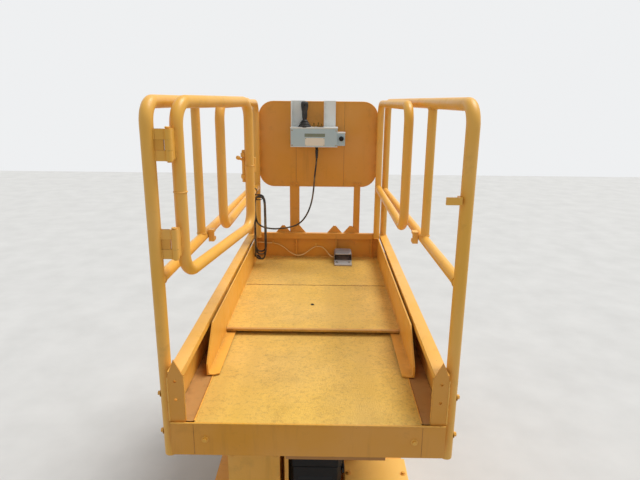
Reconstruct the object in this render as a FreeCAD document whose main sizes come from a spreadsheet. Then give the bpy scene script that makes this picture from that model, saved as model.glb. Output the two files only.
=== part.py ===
import FreeCAD, Part
import math
import os

import Sketcher

# Self-propelled slab scissor lift, stowed. X right, Y forward, Z up, in millimetres.
# The origin is on the ground under the middle of the machine; the entry end is at -Y.

V = FreeCAD.Vector
doc = FreeCAD.newDocument("ScissorLift")
sheet = doc.addObject("Spreadsheet::Sheet", "Sizes")


class Size:
    """A length that carries its number and the formula that gives it from the sheet."""

    def __init__(self, value, text):
        self.value = float(value)
        self.text = text

    def join(self, other, sign, value):
        return Size(value, "(%s %s %s)" % (self.text, sign, other.text))

    def __add__(self, other):
        other = sized(other)
        return self.join(other, "+", self.value + other.value)

    def __sub__(self, other):
        other = sized(other)
        return self.join(other, "-", self.value - other.value)

    def __mul__(self, other):
        other = sized(other)
        return self.join(other, "*", self.value * other.value)

    def __truediv__(self, other):
        other = sized(other)
        return self.join(other, "/", self.value / other.value)

    def __radd__(self, other):
        return sized(other) + self

    def __rsub__(self, other):
        return sized(other) - self

    def __rmul__(self, other):
        return sized(other) * self

    def __neg__(self):
        return Size(-self.value, "(0 - %s)" % self.text)


def sized(number):
    return number if isinstance(number, Size) else Size(number, repr(float(number)))


def named(alias, number):
    """Writes one driving dimension into the sheet and returns it."""
    row = named.rows = named.rows + 1
    sheet.set("A%d" % row, alias)
    sheet.set("B%d" % row, str(number))
    sheet.setAlias("B%d" % row, alias)
    return Size(number, "Sizes." + alias)


named.rows = 0

# Platform
deck_top = 970
deck_sheet = 6
deck_half = 365
platform_rear = -910
wall_out = 442
wall_high = 176
wall_sheet = 4
wall_flange = 45
wall_lip = 24
wall_front = 888
fascia_high = 118
fascia_sheet = 5
end_plate_sheet = 5

# Guard rails
rail_high = 994
mid_rail_high = 463
tube_round = 20
bar_round = 19
upright_round = 17
rail_bend = 62
near_post_side = 462.3
near_post_y = -855
far_post_side = 419
far_post_y = 850
upright_y = -339
post_foot = 820

# Slide-out deck
slide_rise = 30
slide_sheet = 6
slide_rear = -252
slide_front = 832
slide_gap = 5
seat_gap = 0.3
web_in = 382
web_sheet = 6
web_high = 160
web_rear = -620
web_flange = 40
slide_tube = 19
slide_rail_side = 372
slide_rail_back_side = 375
slide_rail_low = 485
slide_rail_top = 986
slide_post_y = 806
front_wall_high = 160
front_sheet = 6
front_flange = 28
front_lip = 36
web_chamfer = 20
lug_high = 45
lug_half = 47

# Front panel and controls
panel_half = 358
panel_low = 486
panel_top = 995
panel_corner = 88
box_left = -160
box_wide = 275
box_high = 110
box_deep = 110
box_low = 738
guard_high = 152

# Swing gate
gate_long = 726
gate_low = 464
gate_open = 80.5
hinge_side = 403
hinge_round = 11
hinge_high = 92
latch_drop = 270
latch_reach = 65
peak_rise = 44
hinge_reach = 58
gate_bend = 70

# Scissor stack
link_long = 1270
level_rise = 125
base_pivot = 400
rear_pivot = -450
arm_high = 100
arm_thick = 40
inner_side = 160
arm_gap = 6
pin_round = 20
run_gap = 0.05
open_gap = 0.6
cross_tube_round = 30
roller_round = 38
track_wall = 6
track_deep = 40

# Lift cylinder
foot_along = 390
foot_drop = -26
eye_along = 898
eye_rise = 26
barrel_round = 40
barrel_start = 60
bore_round = 33
rod_round = 22
eye_round = 31
eye_half = 24
clevis_sheet = 12
clevis_pin = 15

# Chassis
chassis_half = 395
chassis_end = 880
chassis_top = 453
top_sheet = 6
hull_half = 200
hull_low = 100
hull_sheet = 10
floor_top = 344
well_rear = -512
tray_half = 425
tray_low = 115
tray_sheet = 4
door_sheet = 5
guard_low = 62

# Wheels
wheel_round = 152
wheel_thick = 90
wheel_mid = 347
axle_y = 640
rim_round = 108
axle_round = 17.5
kingpin_side = 252
kingpin_round = 16
sleeve_round = 30

for alias, number in list(globals().items()):
    if type(number) in (int, float):
        globals()[alias] = named(alias, number)

levels = 4
NODES = []


def bind(part, prop, size):
    """Sets a property from a size, as a formula wherever the sheet gives it."""
    size = sized(size)
    if "Sizes." in size.text:
        part.setExpression(prop, size.text)
        return
    names = prop.split(".")
    if len(names) == 1:
        setattr(part, prop, size.value)
        return
    place = part.Placement
    setattr(place.Base, names[-1], size.value)
    part.Placement = place


def block(name, x, y, z):
    """A box between a low and a high size on each axis."""
    part = doc.addObject("Part::Box", name)
    for prop, axis, span in (("Length", "x", x), ("Width", "y", y), ("Height", "z", z)):
        bind(part, prop, sized(span[1]) - sized(span[0]))
        bind(part, "Placement.Base." + axis, span[0])
    return part


TURNS = {
    "x": FreeCAD.Rotation(V(0, 1, 0), 90),
    "y": FreeCAD.Rotation(V(1, 0, 0), -90),
    "z": FreeCAD.Rotation(),
}


def rod(name, axis, low, high, across, radius):
    """A cylinder along an axis from low to high; across gives its other two coordinates."""
    part = doc.addObject("Part::Cylinder", name)
    part.Placement = FreeCAD.Placement(V(), TURNS[axis])
    bind(part, "Radius", radius)
    bind(part, "Height", sized(high) - sized(low))
    others = [letter for letter in "xyz" if letter != axis]
    bind(part, "Placement.Base." + axis, low)
    for letter, size in zip(others, across):
        bind(part, "Placement.Base." + letter, size)
    return part


def fuse(name, parts):
    part = doc.addObject("Part::MultiFuse", name)
    part.Shapes = parts
    part.Refine = True
    return part


def cut(name, base, tools):
    part = doc.addObject("Part::Cut", name)
    part.Base = base
    part.Tool = tools[0] if len(tools) == 1 else fuse(name + "_tools", tools)
    return part


def mirror(name, source):
    part = doc.addObject("Part::Mirroring", name)
    part.Source = source
    part.Normal = (1, 0, 0)
    return part


def group(name, parts):
    part = doc.addObject("Part::Compound", name)
    part.Links = parts
    return part


def pair(name, right):
    """A right-hand piece and its mirror image, as solids that don't touch."""
    return group(name, [right, mirror(name + "_left", right)])


def shaped(name, shape):
    part = doc.addObject("Part::Feature", name)
    part.Shape = shape
    return part


def node(label, part):
    part.Label = label
    NODES.append(part)
    return part


def outline(body, role, points, offset):
    """A closed sketch of straight sides on one of the body's planes, fixed point by point."""
    sketch = body.newObject("Sketcher::SketchObject", body.Name + "_outline")
    plane = [item for item in body.Origin.OriginFeatures if item.Role == role][0]
    sketch.AttachmentSupport = [(plane, "")]
    sketch.MapMode = "FlatFace"
    bind(sketch, "AttachmentOffset.Base.z", offset + Size(0, "0 * Sizes.deck_top"))
    count = len(points)
    corners = [V(sized(a).value, sized(b).value, 0) for a, b in points]
    for index in range(count):
        sketch.addGeometry(Part.LineSegment(corners[index], corners[(index + 1) % count]))
    for index in range(count):
        sketch.addConstraint(Sketcher.Constraint("Coincident", index, 2, (index + 1) % count, 1))
    for index, point in enumerate(points):
        for kind, axis, size in (("DistanceX", -2, point[0]), ("DistanceY", -1, point[1])):
            size = sized(size)
            if size.value == 0:
                sketch.addConstraint(Sketcher.Constraint("PointOnObject", index, 1, axis))
                continue
            row = sketch.addConstraint(Sketcher.Constraint(kind, -1, 1, index, 1, size.value))
            if "Sizes." in size.text:
                sketch.setExpression("Constraints[%d]" % row, size.text)
    return sketch


def plate(name, role, points, low, high):
    """A body padded from an outline in one of the planes XY, XZ or YZ, from low to high across it."""
    body = doc.addObject("PartDesign::Body", name)
    low, high = sized(low), sized(high)
    offset = -high if role == "XZ_Plane" else low
    sketch = outline(body, role, points, offset)
    pad = body.newObject("PartDesign::Pad", name + "_pad")
    pad.Profile = sketch
    bind(pad, "Length", high - low)
    sketch.Visibility = False
    return body


def turned(name, points):
    """A body revolved about its X axis from points (along the axis, radius)."""
    body = doc.addObject("PartDesign::Body", name)
    sketch = outline(body, "XZ_Plane", points, sized(0))
    revolve = body.newObject("PartDesign::Revolution", name + "_turn")
    revolve.Profile = sketch
    revolve.ReferenceAxis = (sketch, ["H_Axis"])
    revolve.Angle = 360
    return body


def put(part, x, y, z):
    for axis, size in (("x", x), ("y", y), ("z", z)):
        bind(part, "Placement.Base." + axis, size)
    return part


def rounded(points, bend):
    """A wire through the points whose corners are arcs; bend is one radius, or the cord rule if None."""
    edges = []
    start = points[0]
    radii = []
    for before, corner, after in zip(points, points[1:], points[2:]):
        back, ahead = before - corner, after - corner
        turn = math.pi - back.getAngle(ahead)
        short = min(back.Length, ahead.Length)
        radius = bend if bend else 0.45 * short / math.tan(turn / 2)
        radii.append(radius)
        reach = radius * math.tan(turn / 2)
        back.normalize()
        ahead.normalize()
        first, last = corner + back * reach, corner + ahead * reach
        inward = back + ahead
        inward.normalize()
        middle = corner + inward * (radius / math.cos(turn / 2) - radius)
        if (first - start).Length > 1e-6:
            edges.append(Part.LineSegment(start, first).toShape())
        edges.append(Part.Arc(first, middle, last).toShape())
        start = last
    edges.append(Part.LineSegment(start, points[-1]).toShape())
    return Part.Wire(edges), radii


def bent(points, radius, bend):
    """A round bar or tube, closed at its ends, along the rounded path."""
    path, radii = rounded(points, bend)
    ring = Part.Wire(Part.Circle(points[0], points[1] - points[0], radius).toShape())
    bar = path.makePipeShell([ring], True, False)
    return bar, path.Length, radii


def straight(start, end, radius):
    return Part.makeCylinder(radius, (end - start).Length, start, end - start)


# Chassis: a folded hull, the top deck with its well, roller tracks and end plates
def chassis():
    hull = block("hull_outside", (-hull_half, hull_half), (-chassis_end, chassis_end), (hull_low, floor_top))
    inside = block(
        "hull_inside",
        (hull_sheet - hull_half, hull_half - hull_sheet),
        (hull_sheet - chassis_end, chassis_end - hull_sheet),
        (hull_low + hull_sheet, floor_top + 1),
    )
    node("chassis_hull", cut("hull", hull, [inside]))

    side = track_out
    top = plate(
        "top_deck",
        "XY_Plane",
        [
            (-chassis_half, -chassis_end),
            (chassis_half, -chassis_end),
            (chassis_half, chassis_end),
            (side, chassis_end),
            (side, well_rear),
            (-side, well_rear),
            (-side, chassis_end),
            (-chassis_half, chassis_end),
        ],
        chassis_top - top_sheet,
        chassis_top,
    )
    skirts = []
    for name, low, high in (("rear", -chassis_end, -tray_half - 18), ("front", tray_half + 18, chassis_end)):
        skirt = block(
            "skirt_" + name,
            (chassis_half - wall_sheet, chassis_half),
            (low, high),
            (floor_top - 10, chassis_top - top_sheet),
        )
        skirts += [skirt, mirror("skirt_left_" + name, skirt)]
    # End plates close the chassis at the rear and the front, above the floor
    ends = []
    for name, low, high in (
        ("rear", -chassis_end, hull_sheet - chassis_end),
        ("front", chassis_end - hull_sheet, chassis_end),
    ):
        ends.append(
            block(
                "end_plate_" + name,
                (wall_sheet - chassis_half, chassis_half - wall_sheet),
                (low, high),
                (floor_top, chassis_top - top_sheet),
            )
        )
    node("chassis_top", fuse("top_fused", [top] + skirts + ends))

    # Two side beams, channelled along their front half for the lower rollers
    beam = block(
        "beam",
        (track_in, track_out),
        (hull_sheet - chassis_end, chassis_end - hull_sheet),
        (floor_top, chassis_top - top_sheet),
    )
    channel = block(
        "channel",
        (track_in - 1, track_out - track_wall),
        (track_start, chassis_end - hull_sheet - 4),
        (base_pivot - roller_round - 1, base_pivot + roller_round + 1),
    )
    pin = rod("base_pin", "x", outer_in, track_in + 2, (rear_pivot, base_pivot), pin_round)
    beams = fuse("beam_pinned", [cut("beam_cut", beam, [channel]), pin])
    node("lower_tracks", pair("lower_tracks_pair", beams))

    # Floor outriggers carry the beams and trays past the hull, clear above the wheels
    strips = []
    for name, low, high in (("rear", -chassis_end, -tray_half), ("front", tray_half, chassis_end)):
        strips.append(
            block(
                "strip_" + name,
                (hull_half, chassis_half - wall_sheet),
                (low, high),
                (floor_top - 10, floor_top),
            )
        )
    kingpin_boss = rod(
        "kingpin", "z", hull_low - 6, floor_top - 10, (kingpin_side, axle_y), kingpin_round
    )
    foot = block(
        "kingpin_foot",
        (hull_half, kingpin_side + 28),
        (axle_y - 32, axle_y + 32),
        (hull_low - 6, hull_low + 4),
    )
    front_strip = fuse("front_strip", [strips[1], kingpin_boss, foot])
    stub = rod("rear_stub", "x", hull_half, wheel_mid + 36, (-axle_y, wheel_round), axle_round)
    flange = rod("rear_flange", "x", hull_half, wheel_mid - 62, (-axle_y, wheel_round), 40)
    rear_axle = fuse("rear_axle", [stub, flange])
    node("wheel_carriers", pair("carriers_pair", group("strips", [strips[0], front_strip, rear_axle])))


def trays():
    body = block(
        "tray_body",
        (hull_half + 4, chassis_half - door_sheet - seat_gap),
        (-tray_half, tray_half),
        (tray_low, floor_top),
    )
    room = block(
        "tray_room",
        (hull_half + 4 + tray_sheet, chassis_half),
        (tray_sheet - tray_half, tray_half - tray_sheet),
        (tray_low + tray_sheet, floor_top - tray_sheet),
    )
    upper = block(
        "tray_upper",
        (track_out, chassis_half - door_sheet - seat_gap),
        (-tray_half, tray_half),
        (floor_top, chassis_top - top_sheet),
    )
    seat = block(
        "tray_seat", (hull_half, hull_half + 5), (-tray_half, tray_half), (floor_top - 40, floor_top)
    )
    lower_seat = block(
        "tray_lower_seat", (hull_half, hull_half + 5), (-tray_half, tray_half), (tray_low, tray_low + 40)
    )
    guard = block(
        "guard_bar",
        (chassis_half - 65, chassis_half - 23),
        (25 - tray_half, tray_half - 25),
        (guard_low, tray_low + 1),
    )
    tray = fuse("tray", [cut("tray_open", body, [room]), upper, seat, lower_seat, guard])
    node("side_trays", pair("trays_pair", tray))

    battery = block(
        "battery",
        (hull_half + 20, chassis_half - 60),
        (30 - tray_half, tray_half - 120),
        (tray_low + 4, floor_top - 50),
    )
    unit = block(
        "pump", (hull_half + 25, chassis_half - 70), (-260, 240), (tray_low + 4, floor_top - 70)
    )
    node("power_blocks", group("power", [mirror("battery_left", battery), unit]))


def tray_door(label, side):
    """A drop-down door hinged along its lower edge."""
    panel = block(
        "door_" + label,
        (chassis_half - door_sheet, chassis_half),
        (3 - tray_half, tray_half - 3),
        (tray_low - 6, chassis_top - top_sheet - 3),
    )
    pull = block(
        "pull_" + label,
        (chassis_half - door_sheet - 1, chassis_half + 1),
        (-45, 45),
        (chassis_top - 75, chassis_top - 55),
    )
    opened = cut("door_cut_" + label, panel, [pull])
    barrel = rod("door_barrel_" + label, "y", 20 - tray_half, tray_half - 20, (door_axis_x, door_axis_z), 6)
    door = fuse("door_fused_" + label, [opened, barrel])
    node("tray_door_" + label, door if side > 0 else mirror("door_mirror_" + label, door))


def rear_units():
    """The tall housing and the black cover that stand on the rear of the chassis."""
    housing = block("housing", (-293, -106), (-760, -560), (chassis_top, top_pivot - 90))
    cover = plate(
        "cover_body",
        "XY_Plane",
        [(-60, -745), (105, -745), (120, -730), (120, -590), (-75, -590), (-75, -730)],
        chassis_top,
        chassis_top + 262,
    )
    bracket = block("cover_bracket", (-90, -76), (-745, -600), (chassis_top, chassis_top + 282))
    node("rear_cover", cover)
    node("rear_housing", group("housing_set", [housing, bracket]))


def ladder():
    """Two uprights with three treads on the rear end plate."""
    upright = rod("upright", "z", 190, 640, (150, ladder_y), 12)
    parts = [upright, mirror("upright_left", upright)]
    for step in range(3):
        height = 215 + 190 * step
        parts.append(rod("tread_%d" % step, "x", -150, 150, (ladder_y, height), 11))
    for height in (310, 420):
        span = (height - 12, height + 12)
        foot = block("ladder_foot_%d" % height, (144, 156), (ladder_y, -chassis_end), span)
        parts += [foot, mirror("ladder_foot_left_%d" % height, foot)]
    node("entry_ladder", fuse("ladder", parts))


def tie_downs():
    """Lifting and tie-down lugs on the rear and the front, with one bore each."""
    lugs = []
    reach = chassis_end + 26
    for name, low, high in (("rear", -reach, -chassis_end), ("front", chassis_end, reach)):
        middle = (low + high) / 2
        lug = block("lug_" + name, (234, 246), (low, high), (352, 412))
        lug = cut("lug_bored_" + name, lug, [rod("lug_bore_" + name, "x", 230, 250, (middle, 382), 8)])
        lugs += [lug, mirror("lug_left_" + name, lug)]
    node("tie_down_lugs", group("lugs", lugs))


def knuckle(label, side):
    """A sleeve on the kingpin with the stub axle that carries a steered wheel."""
    sleeve = rod(
        "sleeve_" + label,
        "z",
        hull_low + 4 + seat_gap,
        floor_top - 10 - seat_gap,
        (kingpin_side, axle_y),
        sleeve_round,
    )
    stub = rod("stub_" + label, "x", kingpin_side, wheel_mid + 36, (axle_y, wheel_round), axle_round)
    shoulder = rod("shoulder_" + label, "x", kingpin_side, wheel_mid - 52, (axle_y, wheel_round), 26)
    bore = rod(
        "knuckle_bore_" + label, "z", hull_low, floor_top, (kingpin_side, axle_y), kingpin_round + run_gap
    )
    arm = block(
        "steer_arm_" + label,
        (kingpin_side - 14, kingpin_side + 14),
        (axle_y - 46, axle_y),
        (hull_low + 130, hull_low + 146),
    )
    body = cut("knuckle_cut_" + label, fuse("knuckle_solid_" + label, [sleeve, stub, shoulder, arm]), [bore])
    node("knuckle_" + label, body if side > 0 else mirror("knuckle_mirror_" + label, body))


def wheel(label, side, along):
    half = wheel_thick / 2
    tyre = turned(
        "tyre_" + label,
        [
            (-half, rim_round),
            (half, rim_round),
            (half, wheel_round - 14),
            (half - 10, wheel_round - 2),
            (half - 24, wheel_round),
            (24 - half, wheel_round),
            (10 - half, wheel_round - 2),
            (-half, wheel_round - 14),
        ],
    )
    bore = axle_round + run_gap
    disc = turned(
        "rim_" + label,
        [
            (2 - half, bore),
            (half - 2, bore),
            (half - 2, 38),
            (half - 20, 42),
            (half - 20, rim_round - 22),
            (half - 2, rim_round - 14),
            (half - 2, rim_round),
            (2 - half, rim_round),
            (2 - half, rim_round - 12),
            (20 - half, rim_round - 16),
            (20 - half, 46),
            (2 - half, 42),
        ],
    )
    for kind, part in (("tyre", tyre), ("rim", disc)):
        put(part, side * wheel_mid, along, wheel_round)
        if side < 0:
            part.Placement.Rotation = FreeCAD.Rotation(V(0, 0, 1), 180)
        node("%s_%s" % (kind, label), part)


# Scissor stack: outer arms rise forward, inner arms rise rearward; pins ride on the outer arms
def arm_pair(name, low_x, high_x):
    slab = block(name + "_slab", (low_x, high_x), (0, link_long), (-arm_high / 2, arm_high / 2))
    ends = [
        rod("%s_end_%d" % (name, index), "x", low_x, high_x, (along, 0), arm_high / 2)
        for index, along in enumerate((sized(0), link_long))
    ]
    arm = fuse(name + "_arm", [slab] + ends)
    return [arm, mirror(name + "_arm_left", arm)]


def tilt(part, level, turn):
    """Hangs a pair of arms on its rear pivot, which stays above the one below it."""
    part.Placement = FreeCAD.Placement(V(), FreeCAD.Rotation(V(1, 0, 0), turn * rest_tilt))
    put(part, 0, rear_pivot, base_pivot + level * level_rise)


def outer_arms(level):
    name = "outer_%d" % level
    parts = arm_pair(name, outer_in, outer_out)
    middle = link_long / 2

    def stub(tag, low, high, along, radius):
        right = rod(name + tag, "x", low, high, (along, 0), radius)
        return [right, mirror(name + tag + "_left", right)]

    parts += stub("_mid", inner_side - 4, outer_in + 2, middle, pin_round)
    parts += stub("_mid_cap", outer_out, outer_out + 4, middle, pin_round + 9)
    parts.append(rod(name + "_front", "x", -outer_in - 2, outer_in + 2, (link_long, 0), pin_round))
    if level < levels:
        parts += stub("_front_cap", outer_out, outer_out + 4, link_long, pin_round + 9)
    else:
        parts += stub("_roller_pin", outer_out - 2, roller_out, link_long, pin_round)
    if level > 1:
        parts.append(rod(name + "_rear", "x", -outer_in - 2, outer_in + 2, (0, 0), pin_round))
        parts += stub("_rear_cap", outer_out, outer_out + 4, sized(0), pin_round + 9)
        frame = fuse(name + "_frame", parts)
    else:
        bore = rod(name + "_bore", "x", -outer_out - 2, outer_out + 2, (0, 0), pin_round + run_gap)
        frame = cut(name + "_frame", fuse(name + "_solid", parts), [bore])
    tilt(frame, level - 1, 1)
    node("outer_arms_%d" % level, frame)


def inner_arms(level):
    name = "inner_%d" % level
    parts = arm_pair(name, inner_side, inner_out)
    out = inner_out + 1
    bores = [rod(name + "_rear_bore", "x", -out, out, (0, 0), pin_round + run_gap)]
    bores.append(rod(name + "_mid_bore", "x", -out, out, (link_long / 2, 0), pin_round + run_gap))
    reach = inner_side + 1
    parts.append(rod(name + "_rear_tube", "x", -reach, reach, (0, 0), cross_tube_round))
    parts.append(rod(name + "_front_tube", "x", -reach, reach, (link_long, 0), cross_tube_round))
    if level == 1:
        parts.append(rod(name + "_roller_pin", "x", -roller_out, roller_out, (link_long, 0), pin_round))
    else:
        bores.append(rod(name + "_front_bore", "x", -out, out, (link_long, 0), pin_round + open_gap))
    if level <= 2:
        parts += clevis(name, level, reach)
    frame = cut(name + "_frame", fuse(name + "_solid", parts), bores)
    tilt(frame, level, -1)
    node("inner_arms_%d" % level, frame)


def clevis(name, level, reach):
    """The cross tube and two cheeks that hold the lift cylinder's foot, or its rod eye a level up."""
    foot = level == 1
    along, rise = (foot_along, foot_drop) if foot else (eye_along, eye_rise)
    tube_along = along - 120 if foot else along + 125
    parts = [rod(name + "_clevis_tube", "x", -reach, reach, (tube_along, 0), cross_tube_round - 4)]
    low, high = (tube_along, along + 22) if foot else (along - 22, tube_along)
    cheek = block(
        name + "_cheek",
        (eye_half + 2, eye_half + 2 + clevis_sheet),
        (low, high),
        (rise - 22, rise + 22),
    )
    parts += [cheek, mirror(name + "_cheek_left", cheek)]
    if foot:
        out = eye_half + clevis_sheet + 8
        parts.append(rod(name + "_clevis_pin", "x", -out, out, (along, rise), clevis_pin))
    else:
        cap = rod(
            name + "_clevis_cap", "x", eye_half + 2, eye_half + clevis_sheet + 8, (along, rise), clevis_pin
        )
        parts += [cap, mirror(name + "_clevis_cap_left", cap)]
    return parts


def rollers(label, rise):
    """Two rollers in their tracks; they stay with the arms' front end."""
    tip = link_long.value * math.cos(math.radians(rest_tilt))
    roller = rod(
        label + "_wheel", "x", outer_out + 10, roller_out, (rear_pivot + tip, rise), roller_round - seat_gap
    )
    hole = rod(
        label + "_hole", "x", outer_out, roller_out + 2, (rear_pivot + tip, rise), pin_round + run_gap
    )
    node(label, pair(label + "_pair", cut(label + "_ring", roller, [hole])))


def stack_point(level, along, rise):
    """A point of the inner arms of a level, from its place along and across them."""
    tilted = math.radians(-rest_tilt)
    along, rise = along.value, rise.value
    return V(
        0,
        rear_pivot.value + along * math.cos(tilted) - rise * math.sin(tilted),
        base_pivot.value + level * level_rise.value + along * math.sin(tilted) + rise * math.cos(tilted),
    )


def lift_cylinder():
    """Barrel and rod between the first and the second inner arms, shown closed."""
    foot = stack_point(1, foot_along, foot_drop)
    eye = stack_point(2, eye_along, eye_rise)
    closed = (eye - foot).Length
    slope = math.degrees(math.atan2(eye.z - foot.z, eye.y - foot.y))
    gland = closed - 62
    eye_ring = rod("foot_eye", "x", -eye_half, eye_half, (0, 0), eye_round)
    neck = block("foot_neck", (-eye_half, eye_half), (0, barrel_start + 15), (-eye_half, eye_half))
    tube = rod("barrel_tube", "y", barrel_start, gland, (0, 0), barrel_round)
    port = rod("barrel_port", "z", barrel_round - 4, barrel_round + 16, (0, gland - 60), 10)
    solid = fuse("barrel_solid", [eye_ring, neck, tube, port])
    room = rod("barrel_room", "y", barrel_start + 30, gland - 30, (0, 0), bore_round)
    mouth = rod("barrel_mouth", "y", gland - 31, gland + 1, (0, 0), rod_round + run_gap)
    hole = rod("foot_hole", "x", -eye_half - 1, eye_half + 1, (0, 0), clevis_pin + run_gap)
    barrel = cut("barrel", solid, [room, mouth, hole])
    shaft = rod("rod_shaft", "y", barrel_start + 40, closed - 12, (0, 0), rod_round)
    piston = rod("rod_piston", "y", barrel_start + 35, barrel_start + 67, (0, 0), bore_round - run_gap)
    tip = rod("rod_eye", "x", -eye_half, eye_half, (closed, 0), eye_round)
    ram = fuse("ram", [shaft, piston, tip])
    for part, label in ((barrel, "lift_barrel"), (ram, "lift_rod")):
        part.Placement = FreeCAD.Placement(foot, FreeCAD.Rotation(V(1, 0, 0), slope))
        node(label, part)


# Platform: plate deck between folded side walls, on two track channels
def platform():
    node(
        "main_deck",
        block(
            "deck_plate",
            (-deck_half, deck_half),
            (platform_rear + fascia_sheet, wall_front),
            (deck_under, deck_top),
        ),
    )
    top = deck_top + wall_high
    sheet_out = wall_out - wall_sheet
    lip_in = wall_out - wall_flange
    wall = plate(
        "wall",
        "XZ_Plane",
        [
            (deck_half - 25, deck_under - wall_sheet),
            (wall_out, deck_under - wall_sheet),
            (wall_out, top),
            (lip_in, top),
            (lip_in, top - wall_lip),
            (lip_in + wall_sheet, top - wall_lip),
            (lip_in + wall_sheet, top - wall_sheet),
            (sheet_out, top - wall_sheet),
            (sheet_out, deck_under),
            (deck_half - 25, deck_under),
        ],
        platform_rear + fascia_sheet + end_plate_sheet,
        wall_front,
    )
    node("side_walls", pair("walls_pair", wall))

    # The fascia, and the end plate of each wall with its peaked top and two holes
    fascia = block(
        "fascia",
        (-wall_out, wall_out),
        (platform_rear, platform_rear + fascia_sheet),
        (deck_top - fascia_high, deck_top),
    )
    peak = plate(
        "peak",
        "XZ_Plane",
        [
            (lip_in - 4, deck_top),
            (wall_out, deck_top),
            (wall_out, top - 14),
            (wall_out - 22, top + peak_rise),
            (lip_in - 4, top - 10),
        ],
        platform_rear + fascia_sheet,
        platform_rear + fascia_sheet + end_plate_sheet,
    )
    holes = [
        rod(
            "peak_hole_%d" % drop,
            "y",
            platform_rear,
            platform_rear + 20,
            (wall_out - 23, top - drop),
            5,
        )
        for drop in (30, 95)
    ]
    peaks = pair("peaks_pair", cut("peak_cut", peak, holes))
    node("rear_fascia", fuse("fascia_fused", [fascia, peaks]))

    # Two channels under the deck: pivot pins at the rear, roller tracks at the front
    channel_top = deck_under - wall_sheet
    beam = block(
        "upper_beam",
        (track_in, track_out),
        (platform_rear + 60, wall_front - 4),
        (top_pivot - roller_round - 7, channel_top),
    )
    slot = block(
        "upper_slot",
        (track_in - 1, track_out - track_wall),
        (track_start, wall_front),
        (top_pivot - roller_round - 1, top_pivot + roller_round + 1),
    )
    pin = rod("top_pin", "x", inner_side - 4, track_in + 2, (rear_pivot, top_pivot), pin_round)

    # Outriggers reach from the channels to the walls, and a cross beam joins them at the rear
    ribs = []
    for index, along in enumerate((-840, -600, -300, 0, 300, 600)):
        out = block(
            "rib_%d" % index,
            (track_out, wall_out - wall_sheet),
            (along, along + 40),
            (channel_top - 45, channel_top),
        )
        ribs.append(out)
    cross = block(
        "rear_cross",
        (-track_in, track_in),
        (platform_rear + 60, platform_rear + 110),
        (deck_under - 70, deck_under),
    )
    right = fuse("upper_pinned", [cut("upper_cut", beam, [slot]), pin] + ribs)
    node("upper_tracks", fuse("upper_fused", [right, mirror("upper_left", right), cross]))


def corner_points(side, low_y, high_y, near_x, far_x, low_z, high_z):
    return [
        V(side * near_x, low_y, low_z[0]),
        V(side * near_x, low_y, high_z),
        V(side * far_x, high_y, high_z),
        V(side * far_x, high_y, low_z[1]),
    ]


def main_rail(label, side):
    """Near post, top rail and far post in one bent tube, with a mid rail and an upright welded in."""
    deck = deck_top.value
    near, far = near_post_side.value, far_post_side.value
    low_y, high_y = near_post_y.value, far_post_y.value
    top, middle = deck + rail_high.value, deck + mid_rail_high.value
    radius = tube_round.value
    points = corner_points(side, low_y, high_y, near, far, (post_foot.value, deck + wall_high.value), top)
    frame = bent(points, radius, rail_bend.value)[0]
    share = (upright_y.value - low_y) / (high_y - low_y)
    cross = near + (far - near) * share
    foot = V(side * cross, upright_y.value, middle)
    bars = [
        straight(V(side * near, low_y, middle), V(side * far, high_y, middle), bar_round.value),
        straight(foot, V(foot.x, foot.y, top), upright_round.value),
    ]
    node("main_rail_" + label, shaped("main_rail_%s_shape" % label, frame.fuse(bars).removeSplitter()))


def rail_catches():
    last = slide_rear - slide_tube
    share = (last - near_post_y) / (far_post_y - near_post_y)
    seat = near_post_side + (far_post_side - near_post_side) * share - bar_round - seat_gap
    middle = deck_top + mid_rail_high
    catch = block("catch", (seat - 22, seat), (last - 40, last), (middle - 24, middle + 24))
    bore = block("catch_notch", (seat - 23, seat - 8), (last - 28, last + 1), (middle - 11, middle + 12))
    return pair("catches_pair", cut("catch_cut", catch, [bore]))


# Slide-out deck
def slide_deck():
    top = deck_top + slide_rise
    plate_part = block("slide_plate", (-web_in, web_in), (slide_rear, slide_front), (top - slide_sheet, top))
    step_low = deck_top + slide_gap + 9
    step = block("slide_step", (-web_in, web_in), (slide_rear, slide_rear + 4), (step_low, top))
    node("slide_deck", fuse("slide_fused", [plate_part, step]))

    base = deck_top + slide_gap
    web_top = base + web_high
    upright = plate(
        "web",
        "YZ_Plane",
        [
            (web_rear, base),
            (slide_front, base),
            (slide_front, web_top),
            (web_rear + 120, web_top),
            (web_rear, base + 45),
        ],
        web_in,
        web_in + web_sheet,
    )
    foot = plate(
        "web_foot",
        "XY_Plane",
        [
            (web_in - web_flange + web_chamfer, web_rear),
            (web_in, web_rear),
            (web_in, slide_rear - 1),
            (web_in - web_flange, slide_rear - 1),
            (web_in - web_flange, web_rear + web_chamfer / 2),
        ],
        base,
        base + 4,
    )
    under = block("web_under", (web_in - web_flange, web_in), (slide_rear + 5, slide_front), (base, base + 4))
    node("slide_webs", pair("webs_pair", fuse("web_fused", [upright, foot, under])))

    # Wear pads carry the webs on the main deck
    pads = []
    for index, along in enumerate((-560, -200, 160, 480, 770)):
        pad = block(
            "pad_%d" % index,
            (web_in - web_flange + 4, web_in - 12),
            (along, along + 50),
            (deck_top + seat_gap, base),
        )
        pads += [pad, mirror("pad_left_%d" % index, pad)]
    node("wear_pads", group("pads", pads))


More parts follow.
